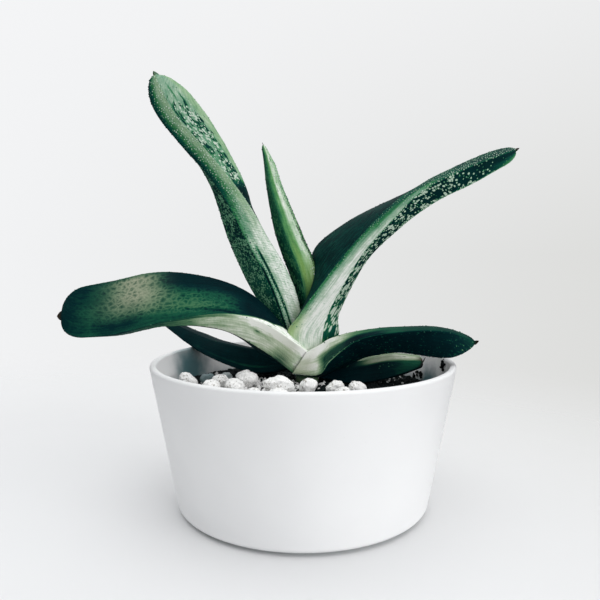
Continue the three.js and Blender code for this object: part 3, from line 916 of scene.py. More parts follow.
def stretched(where, size, stretch, wobble):
    """Skin coordinates in pattern units, drawn out along the leaf and shaken a little."""
    across, up, _ = axes_of(where)
    long = size * stretch
    flat = wire(where.tree, "ShaderNodeCombineXYZ", 0, {0: across / size, 1: up / long})
    shake = noise_value(flat, 0.9, output="Color").vector("SUBTRACT", (0.5, 0.5, 0.5))
    return flat.vector("ADD", shake.vector("SCALE", wobble))


def spots_group():
    """Round to oblong spots, each cell's own size, in drifts that thin out as Cover falls."""
    tree, given = skin_group("leaf spots", ("Size", "Stretch", "Cover"), "Mask")
    where = stretched(given["Skin"], given["Size"], given["Stretch"], 0.55)
    drift = remap(noise_value(where, 0.21), 0.36, 0.64, 0.62, 1.2, smooth=True)
    cover = given["Cover"] * drift
    cells = add_node(tree, "ShaderNodeTexVoronoi",
                     {"Vector": where, "Scale": 1.0, "Randomness": 0.85}).outputs
    chance = wire(tree, "ShaderNodeSeparateColor", 0, {0: Wire(cells["Color"])})
    radius = cover * (chance * 0.42 + 0.3)
    inside = (radius - Wire(cells["Distance"])) / 0.2
    return give_out(inside.math("ADD", 0.5, clamp=True) * cover.math("MULTIPLY", 5.0, clamp=True))


def net_group():
    """A net of thin lines between irregular cells."""
    tree, given = skin_group("leaf net", ("Size", "Stretch", "Width"), "Mask")
    where = stretched(given["Skin"], given["Size"], given["Stretch"], 0.9)
    edge = wire(tree, "ShaderNodeTexVoronoi", "Distance", {"Vector": where, "Scale": 1.0},
                feature="DISTANCE_TO_EDGE")
    return give_out(1.0 - edge.math("DIVIDE", given["Width"], clamp=True))


def streaks_group():
    """Fine lines that run the length of a leaf."""
    tree, given = skin_group("leaf streaks", ("Size",), "Value")
    return give_out(noise_value(stretched(given["Skin"], given["Size"], 16.0, 0.3), 1.0, 3.0, 0.6))


RIB_SPACING = 1.3


def ribs_group():
    """Fine uneven ribs that cross the leaf, from -1 to 1."""
    tree, given = skin_group("cross ribs", (), "Value")
    across, up, _ = axes_of(given["Skin"])
    phase = up * (2 * math.pi / RIB_SPACING) + noise_value(given["Skin"], 0.45) * 9.0
    broken = remap(noise_value(given["Skin"], 0.8, 1.0), 0.4, 0.62, smooth=True)
    return give_out((phase + across).math("SINE") * broken)


def grain_group():
    """The minute roughness of the waxy skin, as a height."""
    tree, given = node_group("skin grain", "Shader", {"Place": "Vector"}, {"Height": "Float"})
    cells = wire(tree, "ShaderNodeTexVoronoi", "Distance",
                 {"Vector": given["Place"], "Scale": 1500.0})
    pimples = remap(cells, 0.1, 0.6, 1.0, 0.0, smooth=True)
    return give_out(noise_value(given["Place"], 380.0) * 0.8 + pimples)


LEAF_SPOTS = spots_group()
CROSS_RIBS = ribs_group()
LEAF_NET = net_group()
LEAF_STREAKS = streaks_group()
SKIN_GRAIN = grain_group()

HORN = (0.026, 0.018, 0.011, 1)


def placed_group(group, **inputs):
    """What a group gives out, placed in the tree that its first input comes from."""
    tree = next(iter(inputs.values())).tree
    return wire(tree, "ShaderNodeGroup", 0, inputs, node_tree=group)


def skin_material(name, tones, warm, markings, streak_depth, roughness):
    """Waxy leaf skin. tones runs from the darkest flesh to the palest. markings holds (size, stretch,
    tone reached) for each painted marking, and the net's line width too, in millimetres."""
    made, place = blank_material(name)
    tree = made.node_tree
    skin = wire(tree, "ShaderNodeUVMap", 0, uv_map="skin")
    painted = {label: attribute(tree, label) for label in PAINTED if not label.startswith("bead")}
    streak = placed_group(LEAF_STREAKS, Skin=skin, Size=0.7)
    cloud = noise_value(place, 130.0, 3.0)
    ribs = placed_group(CROSS_RIBS, Skin=skin) * painted["ribs"]
    mottle = noise_value(stretched(skin, 2.0, 2.8, 0.6), 1.0, 3.0, 0.6)
    tone = painted["tone"]
    tone = (mottle - 0.52) * remap(tone, 0.35, 0.8, 0.1, 0.42) + tone
    tone = (streak - 0.5) * (painted["streaky"] * (streak_depth * 1.2) + streak_depth) + tone
    tone = ribs * 0.07 + ((cloud - 0.5) * 0.22 + tone)
    size, stretch, reached, width = markings["net"]
    lines = placed_group(LEAF_NET, Skin=skin, Size=size, Stretch=stretch, Width=width)
    tone = lines * painted["net"] * (reached - tone) + tone
    for label in ("specks", "dashes", "spots"):
        size, stretch, reached = markings[label]
        mask = placed_group(LEAF_SPOTS, Skin=skin, Size=size, Stretch=stretch, Cover=painted[label])
        tone = mask * (reached - tone) + tone
    ageing = painted["warm"] * remap(tone, 0.3, 0.55, 0.25, 1.0)
    withered = wire(tree, "ShaderNodeVectorMath", 0,
                    {0: warm, "Scale": remap(tone, 0.15, 0.75, 0.35, 1.35)}, operation="SCALE")
    colour = mix_colour(ageing, colour_ramp(tone, tones), withered)
    colour = mix_colour(painted["horn"], colour, HORN)
    wax = remap(streak * 0.5 + cloud, 0.45, 1.0, roughness - 0.07, roughness + 0.1)
    height = streak * 0.9 + placed_group(SKIN_GRAIN, Place=place) * 0.5
    height = ribs * 0.35 + (mask * 0.35 + height)
    return surface(made, colour, wax, height, 0.16, 0.6, 0.04,
                   **{"Specular Tint": (0.45, 1.0, 0.95, 1)})


DARK_TONES = ((0.0, (0.0004, 0.0085, 0.0125)), (0.18, (0.001, 0.02, 0.023)),
              (0.38, (0.0095, 0.088, 0.048)), (0.58, (0.08, 0.22, 0.105)),
              (0.74, (0.27, 0.41, 0.25)), (0.87, (0.56, 0.66, 0.51)), (1.0, (0.96, 0.97, 0.945)))
BEAD_TONES = ((0.0, (0.0005, 0.0085, 0.0105)), (0.34, (0.004, 0.075, 0.052)),
              (0.6, (0.1, 0.27, 0.16)), (0.8, (0.45, 0.6, 0.48)), (1.0, (0.86, 0.93, 0.87)))
BEAD_FLATNESS = 0.85


def bead_material():
    made, place = blank_material("bead skin")
    grain = noise_value(place, 700.0)
    tone = ((grain - 0.5) * 0.3).math("ADD", attribute(place.tree, "bead_tone"), clamp=True)
    return surface(made, colour_ramp(tone, BEAD_TONES), remap(grain, 0.3, 0.7, 0.45, 0.6),
                   grain, 0.05, 0.4, 0.15)


dark_skin = skin_material(
    "dark leaf skin", DARK_TONES, (0.29, 0.315, 0.225),
    {"spots": (1.1, 1.3, 0.66), "specks": (0.9, 1.7, 0.3), "dashes": (1.0, 7.0, 0.12),
     "net": (1.6, 1.35, 0.64, 0.5)}, 0.2, 0.5)
bead_skin = bead_material()
skin_beads = growth_tree("skin beads", "beading", 6.0e6, 1.15, 0.55, 2, tumbled=False)


def grow_leaf(name, form, paint, number, skin, slot_name, beads=None, wear=1.0, grooves=None,
              ending="_tongue"):
    """A leaf with its weathered skin and, where beads gives their spacing, their size and where
    along it they start, its beads. The number seeds everything that is random on it."""
    relief = weathered(form, number) * wear
    form.press(relief + grooves(form) if grooves else relief)
    leaf = leaf_skin(name + ending, form, paint, number, beads[2] if beads else 0)
    leaf.data.materials.append(skin)
    if beads:
        warts = grown_piece(name + "_beads", leaf.data.copy(), skin_beads, *beads[:2],
                            BEAD_FLATNESS, number, bead_skin)
    settle(leaf, slot_name, name + "_leaf")
    if beads:
        settle(warts, slot_name)


def edge_near(share, reach):
    """1 on either edge of a face, 0 beyond reach (a share of its width)."""
    return np.clip(1 - np.minimum(share, 1 - share) / reach, 0, 1)


def horn_at(along, length, start=0.8):
    return keyed(along, (length - start, 0), (length + start, 1))


low_right = LeafForm([
    [(-1.5, 6, 62), (1.5, -7, 66), (-4.5, -8, 57), (-1.5, 5, 54.5)],
    [(6.5, 7, 64), (7.5, -7, 69.5), (6.5, -10, 57), (10, 5, 54)],
    [(15, 7, 67), (12.5, -7, 72.5), (11.5, -11, 63.5), (19, 0, 58.5)],
    [(25, 4, 71.5), (23.5, -8, 75.5), (23.5, -13, 72.5), (27.5, -8, 64)],
    [(43.5, 2, 73.5), (41, -11, 77.5), (41, -16, 76), (40, -13, 66.5)],
    [(59, -2, 74), (56, -14, 77.5), (55.5, -18, 76.5), (56, -17, 65)],
    [(71, -9, 73), (70.5, -16, 75), (70, -19, 74), (69.5, -20, 66.8)],
], 11, (71.2, -17.8, 72.4), blunt=1.75)


def paint_low_right(face, share, along):
    keel = (keyed(along, (0, 0.9), (6, 1.0), (14, 0.94), (22, 0.84), (28, 0.6), (36, 0.4),
                  (50, 0.29), (75, 0.22))
            - keyed(share, (0.38, 0), (0.62, 0.64))
            * keyed(along, (8, 0), (13, 1), (28, 0.9), (42, 0))
            + hump(share, 0.0, 0.5) * keyed(along, (0, 0.32), (10, 0.32), (20, 0))
            - keyed(share, (0.78, 0), (1, 0.35)) * keyed(along, (0, 1), (7, 1), (12, 0))
            - hump(share, 0.45, 0.35) * hump(along, 10.5, 5) * 0.3)
    top = keyed(along, (8, 0.9), (18, 0.5), (30, 0.2), (75, 0.16))
    lower_rim = hump(share, 0.0, 0.07) * keyed(along, (2, 0.8), (18, 0.72), (27, 0.35), (50, 0.14))
    front = keyed(along, (0, 0.3), (10, 0.06), (30, 0.03), (62, 0.05), (74, 0.26))
    end_spots = keyed(along, (60, 0.0), (68, 0.08), (75, 0.14))
    return {
        "tone": (top, keel, front + lower_rim, front * 0.5),
        "spots": (0.12, 0.1, 0.17 + end_spots, 0.1),
        "specks": (0.2, keyed(along, (30, 0), (45, 0.5)), 0.45, 0.2),
        "ribs": (0, keyed(along, (20, 0.3), (40, 0.1)), 0, 0),
        "warm": (0.2, keyed(along, (8, 0.12), (16, 0.28), (24, 0.2), (30, 0))
                 + keyed(share, (0.2, 0.2), (0.5, 0.6)) * keyed(along, (4, 1), (10, 0)), 0, 0),
        "streaky": (0.2, keyed(along, (28, 0.8), (45, 0.2)), 0, 0),
        "beading": edge_near(share, 0.09) * 0.5,
        "bead_tone": (0.4, 0.45, 0.38, 0.3),
    }


grow_leaf("low_right", low_right, paint_low_right, 1, dark_skin, "leaf_dark", (1.1, 0.34, 12))

# ---------------------------------------------------------------- low left leaf
# The broadest leaf: it arches out to the left and twists, so that its wide dark face shows on top. Age
# has drawn a tan and green net over the middle; the folded lower band is pale green and striped.

low_left = LeafForm([
    [(-1.5, 7, 66.5), (3, -6, 65.5), (-4, -6, 56.5), (-6.5, 5, 59.5)],
    [(-18, 3, 86.8), (-16.5, -9, 78.5), (-16.5, -8, 66.5), (-19.5, 0, 65.5)],
    [(-34.5, -3, 96.5), (-33, -14, 83), (-34.5, -12, 76.5), (-31.5, -6, 75)],
    [(-56.5, -12, 100.5), (-55, -20, 80.5), (-56, -16, 78), (-54, -12, 79.5)],
    [(-77, -17, 97), (-76, -24, 75.5), (-74.5, -21, 75), (-74, -17, 77.5)],
    [(-96.5, -20, 93), (-96, -26, 74.5), (-95, -23, 75), (-94.5, -20, 78)],
], 10, (-97.4, -22.4, 82.9))


def groove(form, face, path, fade, depth, half_width):
    """A groove in one face; path and fade say where it lies and how much of it there is."""
    on_face = (form.face == face)[None] * 1.0
    away = (form.share[None] - path[:, None]) * form.widths[face][:, None]
    return -on_face * fade[:, None] * depth * np.exp(-(away / half_width) ** 2)


def crease_at(along):
    return keyed(along, (30, 1.0), (40, 0.9), (60, 0.79), (75, 0.72))


def crease(form):
    """A long shallow fold in the wide face, just above the keel."""
    fade = keyed(form.along, (28, 0), (38, 1), (58, 0.8), (78, 0))
    return groove(form, 0, crease_at(form.along), fade, 0.45, 0.9)


def paint_low_left(face, share, along):
    tan_top = (hump(along, 75, 20)
               * keyed(share, (0.02, 0.5), (0.1, 1), (0.4, 0.9), (0.65, 0.35), (0.82, 0)))
    tan_low = hump(along, 78, 24) * keyed(share, (0.3, 0), (0.5, 0.8), (0.7, 0.7), (0.86, 0.1))
    meshed = np.clip(np.maximum(tan_top, tan_low * 0.85), 0, 1)
    green_net = (keyed(along, (28, 0), (38, 0.8), (58, 1), (68, 0.6), (76, 0))
                 * keyed(share, (0.25, 0), (0.5, 0.8), (0.8, 1), (0.95, 0.3)))
    far = keyed(along, (84, 0), (92, 0.065), (104, 0.045))
    wide = (keyed(along, (30, 0.04), (60, 0.07), (70, 0.12), (104, 0.08))
            + 0.2 * tan_top + 0.08 * tan_low + 0.2 * green_net + far
            + keyed(share, (0.8, 0), (0.97, 0.16)) * keyed(along, (50, 1), (90, 0.5), (104, 0.2))
            + hump(share, 0.74, 0.2) * hump(along, 53, 16) * 0.12)
    margin_from = keyed(along, (0, 0.0), (8, 0.35), (16, 0.78), (30, 0.94), (46, 1.0))
    wide = wide + (0.97 - wide) * np.clip((share - margin_from) / 0.05, 0, 1)
    rim = hump(share, 0.0, 0.03) * keyed(along, (20, 0.2), (60, 0.35), (104, 0.25))
    # Painted shade in the crease: a dark line along the fold.
    crease_shade = (hump(share, crease_at(along), 0.05)
                 * keyed(along, (28, 0), (36, 1), (60, 0.8), (76, 0)))
    keel = (keyed(along, (0, 0.94), (6, 0.9), (16, 0.92), (34, 0.92), (46, 0.8), (56, 0.52),
                  (66, 0.36), (80, 0.26), (100, 0.18))
            + hump(share, 0.0, 0.4)
            * keyed(along, (0, 0.35), (12, 0.3), (24, 0.2), (36, 0.08), (44, 0))
            - keyed(share, (0.66, 0), (0.86, 0.16), (1, 0.5))
            * keyed(along, (0, 1), (12, 1), (24, 0.3), (34, 0))
            - hump(share, 0.08, 0.2) * keyed(along, (24, 0), (36, 0.22), (50, 0.34), (62, 0.1)))
    for across, width, up, reach, darker in ((0.8, 0.35, 11, 9, 0.3), (0.58, 0.4, 8, 9, 0.16),
                                             (0.42, 0.2, 24, 20, 0.14), (0.38, 0.05, 24, 1.8, 0.5)):
        keel = keel - hump(share, across, width) * hump(along, up, reach) * darker
    return {
        "tone": (wide + rim - crease_shade * 0.26, keel, 0.12, 0.05),
        "spots": (0.06 + 0.1 * green_net, 0.0, 0.1, 0.05),
        "specks": (0.2, 0.1, 0.1, 0.05),
        "net": (np.clip(meshed * 0.9 + green_net * 0.66 + far * 2, 0, 1), 0, 0, 0),
        "dashes": (0.2 + 0.3 * hump(share, 0.15, 0.25) * hump(along, 62, 22),
                   keyed(along, (30, 0), (50, 0.3)), 0, 0),
        "ribs": (0, 0.25, 0, 0),
        "warm": (np.clip(tan_top * 0.95 + tan_low * 0.3, 0, 1),
                 keyed(along, (2, 0.1), (7, 0.55), (14, 0.42), (26, 0.25), (50, 0.1)), 0, 0),
        "streaky": (0.15 + 1.3 * green_net, keyed(share, (0, 0.2), (0.2, 1.0)), 0, 0),
        "beading": edge_near(share, 0.06) * 0.35,
        "bead_tone": (0.28, 0.45, 0.3, 0.2),
    }


grow_leaf("low_left", low_left, paint_low_left, 2, dark_skin, "leaf_dark", (1.1, 0.3, 20),
          grooves=crease)

# ---------------------------------------------------------------- small right leaf
# A stunted leaf low on the right whose end has torn and dried into a hooked dark tip. Its upper edge is
# yellowing, and its face is scratched.

small_right = LeafForm([
    [(6, 11, 58.5), (6, 2, 58.5), (7.5, 0, 53.5), (11.5, 9, 51.5)],
    [(25, 10, 60.5), (24.5, 3, 60.5), (21, -3, 52), (28, 6, 51)],
    [(40, 14, 62), (39, 8, 62.5), (36, 3, 52.5), (43, 10, 52.5)],
    [(56, 19, 60), (55.5, 15, 60), (53, 11, 56), (56.5, 16, 55.5)],
], 3, (56.8, 15.5, 60.1))


def paint_small_right(face, share, along):
    strip = keyed(share, (0, 1), (0.22, 1), (0.34, 0)) * keyed(along, (14, 0), (22, 0.8), (26, 1))
    green = (keyed(along, (0, 0.02), (28, 0.04), (36, 0.18), (42, 0.36), (49, 0.4))
             * keyed(share, (0.3, 1), (1, 0.7)))
    hook = hump(along, 50, 5) * keyed(share, (0.0, 1), (0.25, 0.9), (0.4, 0)) * (face == 1)
    return {
        "tone": (0.66, green + strip * (0.87 - green), 0.05, 0.05),
        "spots": (0.1, 0.65 * hump(along, 33, 9) * hump(share, 0.5, 0.35), 0.1, 0.05),
        "dashes": (0.1, 0.3, 0.1, 0.05),
        "warm": (0.5, strip * 0.5, 0, 0),
        "streaky": (0.8, strip + 0.3, 0, 0),
        "horn": np.clip(horn_at(along, small_right.length) + hook, 0, 1),
    }


grow_leaf("small_right", small_right, paint_small_right, 3, dark_skin, "leaf_dark")

# ---------------------------------------------------------------- back left leaf
# A plain leaf at the back, in the shade of the others: almost black green, with a faint lighter line
# along its keel.

back_left = LeafForm([
    [(-2.5, 12, 63), (-5, 4, 64.5), (-5.5, 2, 57.5), (-2, 10, 56)],
    [(-24, 24, 63), (-24.5, 14, 64.5), (-23, 10, 54), (-19, 20, 52)],
    [(-43, 37, 66), (-43, 28, 66), (-45.5, 24, 59), (-40.5, 32, 59.5)],
    [(-61, 48, 71.5), (-61.5, 40, 71.5), (-64, 38, 68), (-59.5, 45, 66.5)],
    [(-75, 54, 79), (-76, 50, 78), (-76.5, 48, 75.5), (-75, 52, 75)],
], 6, (-77.2, 51.8, 78.4))


def paint_back_left(face, share, along):
    line_tone = hump(share, 0.75, 0.08) * keyed(along, (8, 0.1), (20, 0.22), (45, 0.1), (60, 0))
    return {
        "tone": (0.1, 0.12 + line_tone, 0.08, 0.08),
        "specks": (0.25, 0.2, 0.2, 0.2),
        "beading": edge_near(share, 0.08) * 0.3,
        "bead_tone": (0.3, 0.25, 0.25, 0.2),
    }


grow_leaf("back_left", back_left, paint_back_left, 4, dark_skin, "leaf_dark", (1.1, 0.32, 15))

# ---------------------------------------------------------------- centre spear
# The youngest leaf, still rolled to a narrow spear: bright yellow-green along the fold, with a dark
# side and a whitish margin set with dark beads.

YOUNG_TONES = ((0.0, (0.0006, 0.012, 0.012)), (0.2, (0.0035, 0.048, 0.031)),
               (0.42, (0.012, 0.128, 0.064)), (0.6, (0.11, 0.32, 0.11)),
               (0.8, (0.36, 0.56, 0.34)), (1.0, (0.8, 0.86, 0.77)))
young_skin = skin_material(
    "young leaf skin", YOUNG_TONES, (0.22, 0.36, 0.09),
    {"spots": (0.9, 1.5, 0.8), "specks": (0.6, 1.6, 0.47), "dashes": (0.8, 6.0, 0.15),
     "net": (1.2, 1.6, 0.4, 0.5)}, 0.24, 0.48)

centre_spear = LeafForm([
    [(1, 12, 57), (2, 8, 57), (5, 8, 57), (5.5, 12, 57)],
    [(-2, 13, 68), (1.5, 8, 67), (6, 9, 68), (7, 14, 68)],
    [(-5, 13, 93.5), (0, 8, 94.5), (5, 10, 97), (8, 15, 95.5)],
    [(-12.5, 15, 115.5), (-7.5, 10, 116), (-2.5, 12, 116), (0.5, 17, 115.5)],
    [(-16.5, 18, 136.5), (-14, 13, 136), (-11, 14, 137), (-8.2, 18, 136)],
    [(-18, 19, 148.5), (-16.5, 16.5, 148), (-14.5, 16.5, 148), (-12.3, 18.5, 148)],
    [(-19, 20, 157), (-18.5, 19, 157), (-17.5, 19, 157), (-17, 20, 157)],
], 2.5, (-18.6, 19.5, 158.4))


def paint_spear(face, share, along):
    left = (keyed(share, (0, 0.22), (0.06, 0.15), (0.5, 0.22), (0.85, 0.28), (1, 0.42))
            * keyed(along, (25, 0.3), (45, 1), (100, 1.3)))
    fold = (keyed(share, (0, 0.38), (0.14, 0.47), (0.48, 0.58), (0.64, 0.66), (0.76, 0.86), (1, 0.96))
            * keyed(along, (20, 0.35), (30, 0.88), (40, 1.1), (52, 1.06), (64, 1))
            + keyed(share, (0, 0.13), (0.4, 0)) * keyed(along, (32, 0), (44, 1), (60, 1), (72, 0))
            - keyed(share, (0.55, 0), (0.8, 1))
            * keyed(along, (22, 0), (30, 0.24), (40, 0.26), (50, 0.1), (58, 0)))
    right = (keyed(share, (0, 0.94), (0.3, 0.88), (0.55, 0.74), (1, 0.3))
             * keyed(along, (26, 0.6), (54, 1))
             + keyed(share, (0.4, 0), (1, 1)) * keyed(along, (62, 0), (80, 0.3)))
    sunned = np.maximum(hump(share, 0.35, 0.45), (share > 0.5) * keyed(along, (36, 1), (54, 0)))
    beads = keyed(share, (0, 0.25), (0.25, 0.5), (0.4, 1), (1, 1))
    dark_beads = keyed(along, (66, 0.04), (86, 0.75))
    return {
        "tone": (left, fold, right, 0.2),
        "spots": (0.2, 0.05, 0.35, 0.3),
        "specks": (1.0, 0.1, 0.2, 0.3),
        "dashes": (0.25, 0.15, 0.35, 0.2),
        "ribs": (0.3, 0.3, 0.6, 0),
        "warm": (0, sunned * hump(along, 42, 26) * 0.7, keyed(along, (40, 0.4), (56, 0)), 0),
        "streaky": (0.3, 0.5, 0.2, 0),
        "beading": (edge_near(share, 0.1) * 0.5, keyed(share, (0.7, 0), (1, 0.35)), beads, 0.3),
        "bead_tone": (0.35, 0.85, np.where(share < 0.33, 0.88, dark_beads), 0.25),
        "horn": horn_at(along, centre_spear.length, 0.4),
    }


grow_leaf("centre_spear", centre_spear, paint_spear, 5, young_skin, "leaf_young", (0.85, 0.42, 25),
          wear=0.7, ending="")

# ---------------------------------------------------------------- upper right leaf
# A long leaf that rises from the middle and leans far out to the right: a black-green upper face with
# fine lines, a creamy keel that narrows to a beaded green strip, and an under face full of white spots.

MOTTLED_TONES = ((0.0, (0.0005, 0.0085, 0.0105)), (0.18, (0.0014, 0.026, 0.027)),
                 (0.34, (0.004, 0.082, 0.054)), (0.48, (0.038, 0.22, 0.078)),
                 (0.62, (0.15, 0.34, 0.215)), (0.78, (0.38, 0.54, 0.4)), (1.0, (0.92, 0.95, 0.9)))
mottled_skin = skin_material(
    "mottled leaf skin", MOTTLED_TONES, (0.28, 0.39, 0.17),
    {"spots": (1.12, 1.25, 0.84), "specks": (1.6, 2.2, 0.88), "dashes": (0.9, 6.0, 0.1),
     "net": (0.62, 14.0, 0.28, 0.22)}, 0.22, 0.48)

upper_right = LeafForm([
    [(4, 11, 57), (-3, 0, 57), (5, 0, 57), (10, 7, 57)],
    [(2, 14, 71), (-7, -3, 73), (8, -3, 70), (16, 5, 71.5)],
    [(6, 18, 89), (-1, -2, 82.5), (11, -3, 82.5), (16.5, 4, 82)],
    [(4.5, 18.5, 108.3), (17, 0, 106), (24, -3, 105.5), (28.5, 3, 105)],
    [(21, 15, 122.8), (32, 1, 122.5), (38, -3, 122), (44.5, 2, 120.5)],
    [(47, 14, 135), (46, 3, 134.5), (51, -3, 134.5), (57.5, -1, 130)],
    [(72.5, 12, 146.5), (69.5, 4, 147), (69.5, -3, 144), (71, -3, 136.5)],
    [(90.5, 8, 154.2), (90, 2, 154.2), (90, -3, 151.5), (90.8, -4, 147.3)],
], 7, (92, 0.5, 152.4))


def paint_upper_right(face, share, along):
    cream = keyed(share, (0, 0), (0.1, 0.05), (0.22, 0.75), (0.4, 1), (1, 1))
    narrow = keyed(share, (0, 0), (0.45, 0.05), (0.68, 0.9), (0.9, 1), (1, 0.8))
    reach = keyed(along, (20, 0), (60, 0.5), (90, 1))
    ridge = keyed(along, (10, 0.62), (24, 0.58), (35, 0.46), (80, 0.34), (135, 0.24))
    pale = keyed(along, (10, 0.93), (24, 0.98), (40, 1.0), (55, 0.92), (75, 0.8), (95, 0.6),
                 (112, 0.3), (135, 0.24))
    band = cream * (1 - reach) + narrow * reach
    keel = ridge + (pale - ridge) * band
    under = (keyed(along, (15, 0.36), (28, 0.34), (38, 0.2), (60, 0.15), (139, 0.14))
             + hump(share, 1.0, 0.16) * keyed(along, (40, 0.1), (80, 0.4), (135, 0.4))
             + hump(share, 0.0, 0.08) * keyed(along, (20, 0), (40, 0.3))
             + keyed(share, (0.3, 0), (0.8, 1)) * keyed(along, (124, 0), (138, 0.42)))
    cover = (keyed(along, (14, 0.0), (26, 0.2), (32, 0.85), (48, 0.98), (58, 0.92), (95, 0.9),
                   (108, 0.82), (125, 0.58), (138, 0.36))
             * keyed(share, (0.7, 1), (1, 1.25)))
    blotches = keyed(along, (12, 0.6), (22, 0.85), (38, 0.85), (50, 0.5), (60, 0))
    beaded = (keyed(share, (0, 0.9), (0.22, 0.4), (0.32, 0.03), (0.9, 0.05), (1, 0.5))
              * keyed(along, (20, 0.5), (60, 0.8), (100, 1)))
    return {
        "tone": (0.07 + hump(share, 1.0, 0.05) * 0.2, keel, under, 0.15),
        "net": (0.95, 0, 0, 0),
        "spots": (keyed(share, (0, 0.2), (1, 0.05)), keyed(along, (95, 0), (115, 0.35)), cover, 0.6),
        "specks": (0, 0, blotches, 0),
        "dashes": (0.3, keyed(share, (0, 0.3), (0.5, 0)), 0, 0.2),
        "ribs": (0, keyed(share, (0, 0.6), (0.6, 0.25)), 0, 0),
        "warm": (0, hump(along, 18, 16) * hump(share, 0.08, 0.45) * 0.9, 0, 0),
        "streaky": (0.3, keyed(along, (50, 0.9), (90, 0.3)), 0, 0),
        "beading": (edge_near(share, 0.05) * 0.6,
                    np.maximum(beaded, keyed(along, (80, 0), (105, 0.8))),
                    edge_near(share, 0.08) * 0.6, 0.08),
        "bead_tone": (0.28, keyed(share, (0, 0.62), (0.5, 0.72), (1, 0.84)),
                      keyed(share, (0, 0.8), (0.5, 0.5), (1, 0.78)), 0.4),
    }


grow_leaf("upper_right", upper_right, paint_upper_right, 6, mottled_skin, "leaf_mottled",
          (0.9, 0.34, 20))

# ---------------------------------------------------------------- tall left leaf
# The tallest leaf leans to the left and ends blunt. Its keel is thick with white warts at the top and
# turns creamy lower down, where two dark lines of painted shade, one in a furrow and one along the
# first edge of the keel, enclose a narrow beaded strip; the broad face at the top is a mosaic of dark
# dashes on pale green.

dashed_skin = skin_material(
    "dashed leaf skin", MOTTLED_TONES, (0.215, 0.37, 0.135),
    {"spots": (0.75, 1.9, 0.86), "specks": (0.62, 1.4, 0.61), "dashes": (1.0, 3.6, 0.22),
     "net": (1.5, 1.5, 0.55, 0.5)}, 0.18, 0.48)

tall_left = LeafForm([
    [(-4, 9, 57), (-4.5, 2, 57), (-0.5, 3, 57), (0, 9, 57)],
    [(-10, 10, 70), (-6, 3, 69), (1, 4, 69), (0.5, 10, 70)],
    [(-23.5, 11, 91.5), (-14.5, 3, 93.5), (-3.5, 6, 92.5), (-6, 12, 94)],
    [(-33.5, 14, 113), (-25, 6, 114), (-14.8, 8, 114), (-20, 14, 116)],
    [(-41.5, 16, 137), (-37.5, 9, 136.5), (-27, 8, 134), (-25, 14, 137)],
    [(-52, 18, 155.5), (-51.5, 11, 152.5), (-42.5, 8, 153), (-34.8, 13, 157)],
    [(-64.5, 18, 172.5), (-65.2, 13, 169.5), (-56.5, 9, 169.5), (-46, 13, 174)],
    [(-69.5, 18, 187), (-71, 14, 185.5), (-65.5, 11, 186.5), (-58, 14, 187.3)],
], 12, (-66.2, 14, 188.3))


def furrow_at(along):
    return keyed(along, (20, 0.36), (40, 0.25), (60, 0.27))


def furrow(form):
    """The groove beside the first edge of the keel, near the base; its darkness is painted shade."""
    fade = keyed(form.along, (18, 0.6), (30, 1), (52, 0.9), (61, 0))
    return groove(form, 1, furrow_at(form.along), fade, 0.8, 0.32)


def long_streaks(share, along):
    """A few dark lines beside the keel and down the top of the broad face."""
    total = 0
    for across, start, end in ((0.03, 104, 121), (0.07, 121, 134), (0.35, 130, 142), (0.6, 128, 137)):
        middle, half = (start + end) / 2, (end - start) / 2
        total = total + np.exp(-((share - across) / 0.02) ** 2) * hump(along, middle, half * 1.2)
    return total


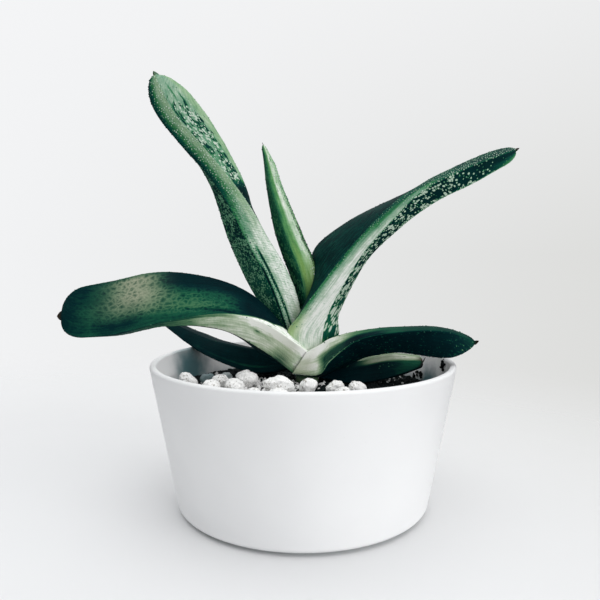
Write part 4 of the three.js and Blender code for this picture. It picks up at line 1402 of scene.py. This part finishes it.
def paint_tall_left(face, share, along):
    # Painted shade: dark lines in the furrow and along the first edge of the keel.
    inside = np.exp(-((share - furrow_at(along)) / 0.032) ** 2)
    furrow_shade = (inside * keyed(along, (18, 1), (54, 1), (60, 0))
                  + np.exp(-((share - 0.05) / 0.04) ** 2)
                  * keyed(along, (18, 1.1), (44, 1.1), (50, 0)))
    high = keyed(along, (60, 0), (92, 1))
    low_keel = keyed(share, (0, 0.52), (0.1, 0.72), (0.3, 0.76), (0.5, 0.86), (0.9, 0.92), (1, 0.82))
    high_keel = (keyed(share, (0, 0.14), (0.14, 0.22), (0.3, 0.36), (0.48, 0.49), (0.72, 0.69),
                       (1, 0.74))
                 + keyed(along, (112, 0), (136, 0.04)))
    keel = low_keel * (1 - high) + high_keel * high - furrow_shade * 1.1
    strip = keyed(share, (0.66, 0), (0.8, 1), (0.93, 1), (1, 0.6)) * keyed(along, (84, 0), (98, 1))
    face_top = (keyed(along, (62, 0.08), (88, 0.08), (93, 0.56), (126, 0.66), (136, 0.72),
                      (146, 0.7))
                - long_streaks(share, along) * 0.62)
    face_top = face_top + (0.74 - face_top) * strip
    beaded = (keyed(share, (0, 1), (0.1, 0.65), (0.5, 0.6), (1, 0.5))
              * keyed(along, (15, 0.12), (50, 0.25), (78, 0.9)))
    strip_beads = (share < furrow_at(along)) * (share > 0.08) * (along < 58)
    return {
        "tone": (keyed(along, (14, 0.29), (42, 0.28), (56, 0.17), (90, 0.13)), np.maximum(keel, 0),
                 face_top, 0.2),
        "spots": (0.12, 0.08 * high,
                  keyed(along, (88, 0.1), (93, 1.05), (124, 1.0), (138, 0.4))
                  * keyed(share, (0, 0.75), (0.6, 1), (0.78, 0.15)), 0.6),
        "specks": (keyed(along, (14, 0.7), (40, 1.0), (85, 0.95)), 0.1, 0, 0.3),
        "dashes": (0.2, 0,
                   keyed(share, (0, 0.5), (0.1, 0.8), (0.6, 0.95), (0.76, 0.3), (0.84, 0))
                   * keyed(along, (90, 1.25), (122, 1.15), (136, 0.7), (143, 0)), 0.1),
        "ribs": (0, keyed(along, (20, 1), (60, 1.4), (100, 0.9), (130, 0.3)), 0, 0),
        "warm": (0, keyed(share, (0.3, 0), (0.5, 0.08), (0.75, 0.34), (1, 0.25))
                 * keyed(along, (58, 0), (85, 1))
                 + keyed(share, (0.5, 0), (0.8, 0.4)) * hump(along, 25, 9), strip * 0.35, 0),
        "streaky": (0, 0.35, 0.5, 0),
        "beading": (keyed(share, (0, 0.6), (0.08, 0.1), (0.92, 0.15), (1, 1)),
                    np.maximum(beaded, strip_beads),
                    keyed(share, (0, 0.3), (0.15, 0.05), (0.9, 0.05), (1, 0.8)), 0.1),
        "bead_tone": (keyed(share, (0, 0.15), (0.9, 0.3), (1, 0.3)),
                      keyed(share, (0, 0.2), (0.18, 0.4), (0.34, 0.76), (1, 0.88)), 0.7, 0.4),
        "horn": horn_at(along, tall_left.length) * 0.55,
    }


grow_leaf("tall_left", tall_left, paint_tall_left, 7, dashed_skin, "leaf_mottled",
          (0.92, 0.37, 14), grooves=furrow)
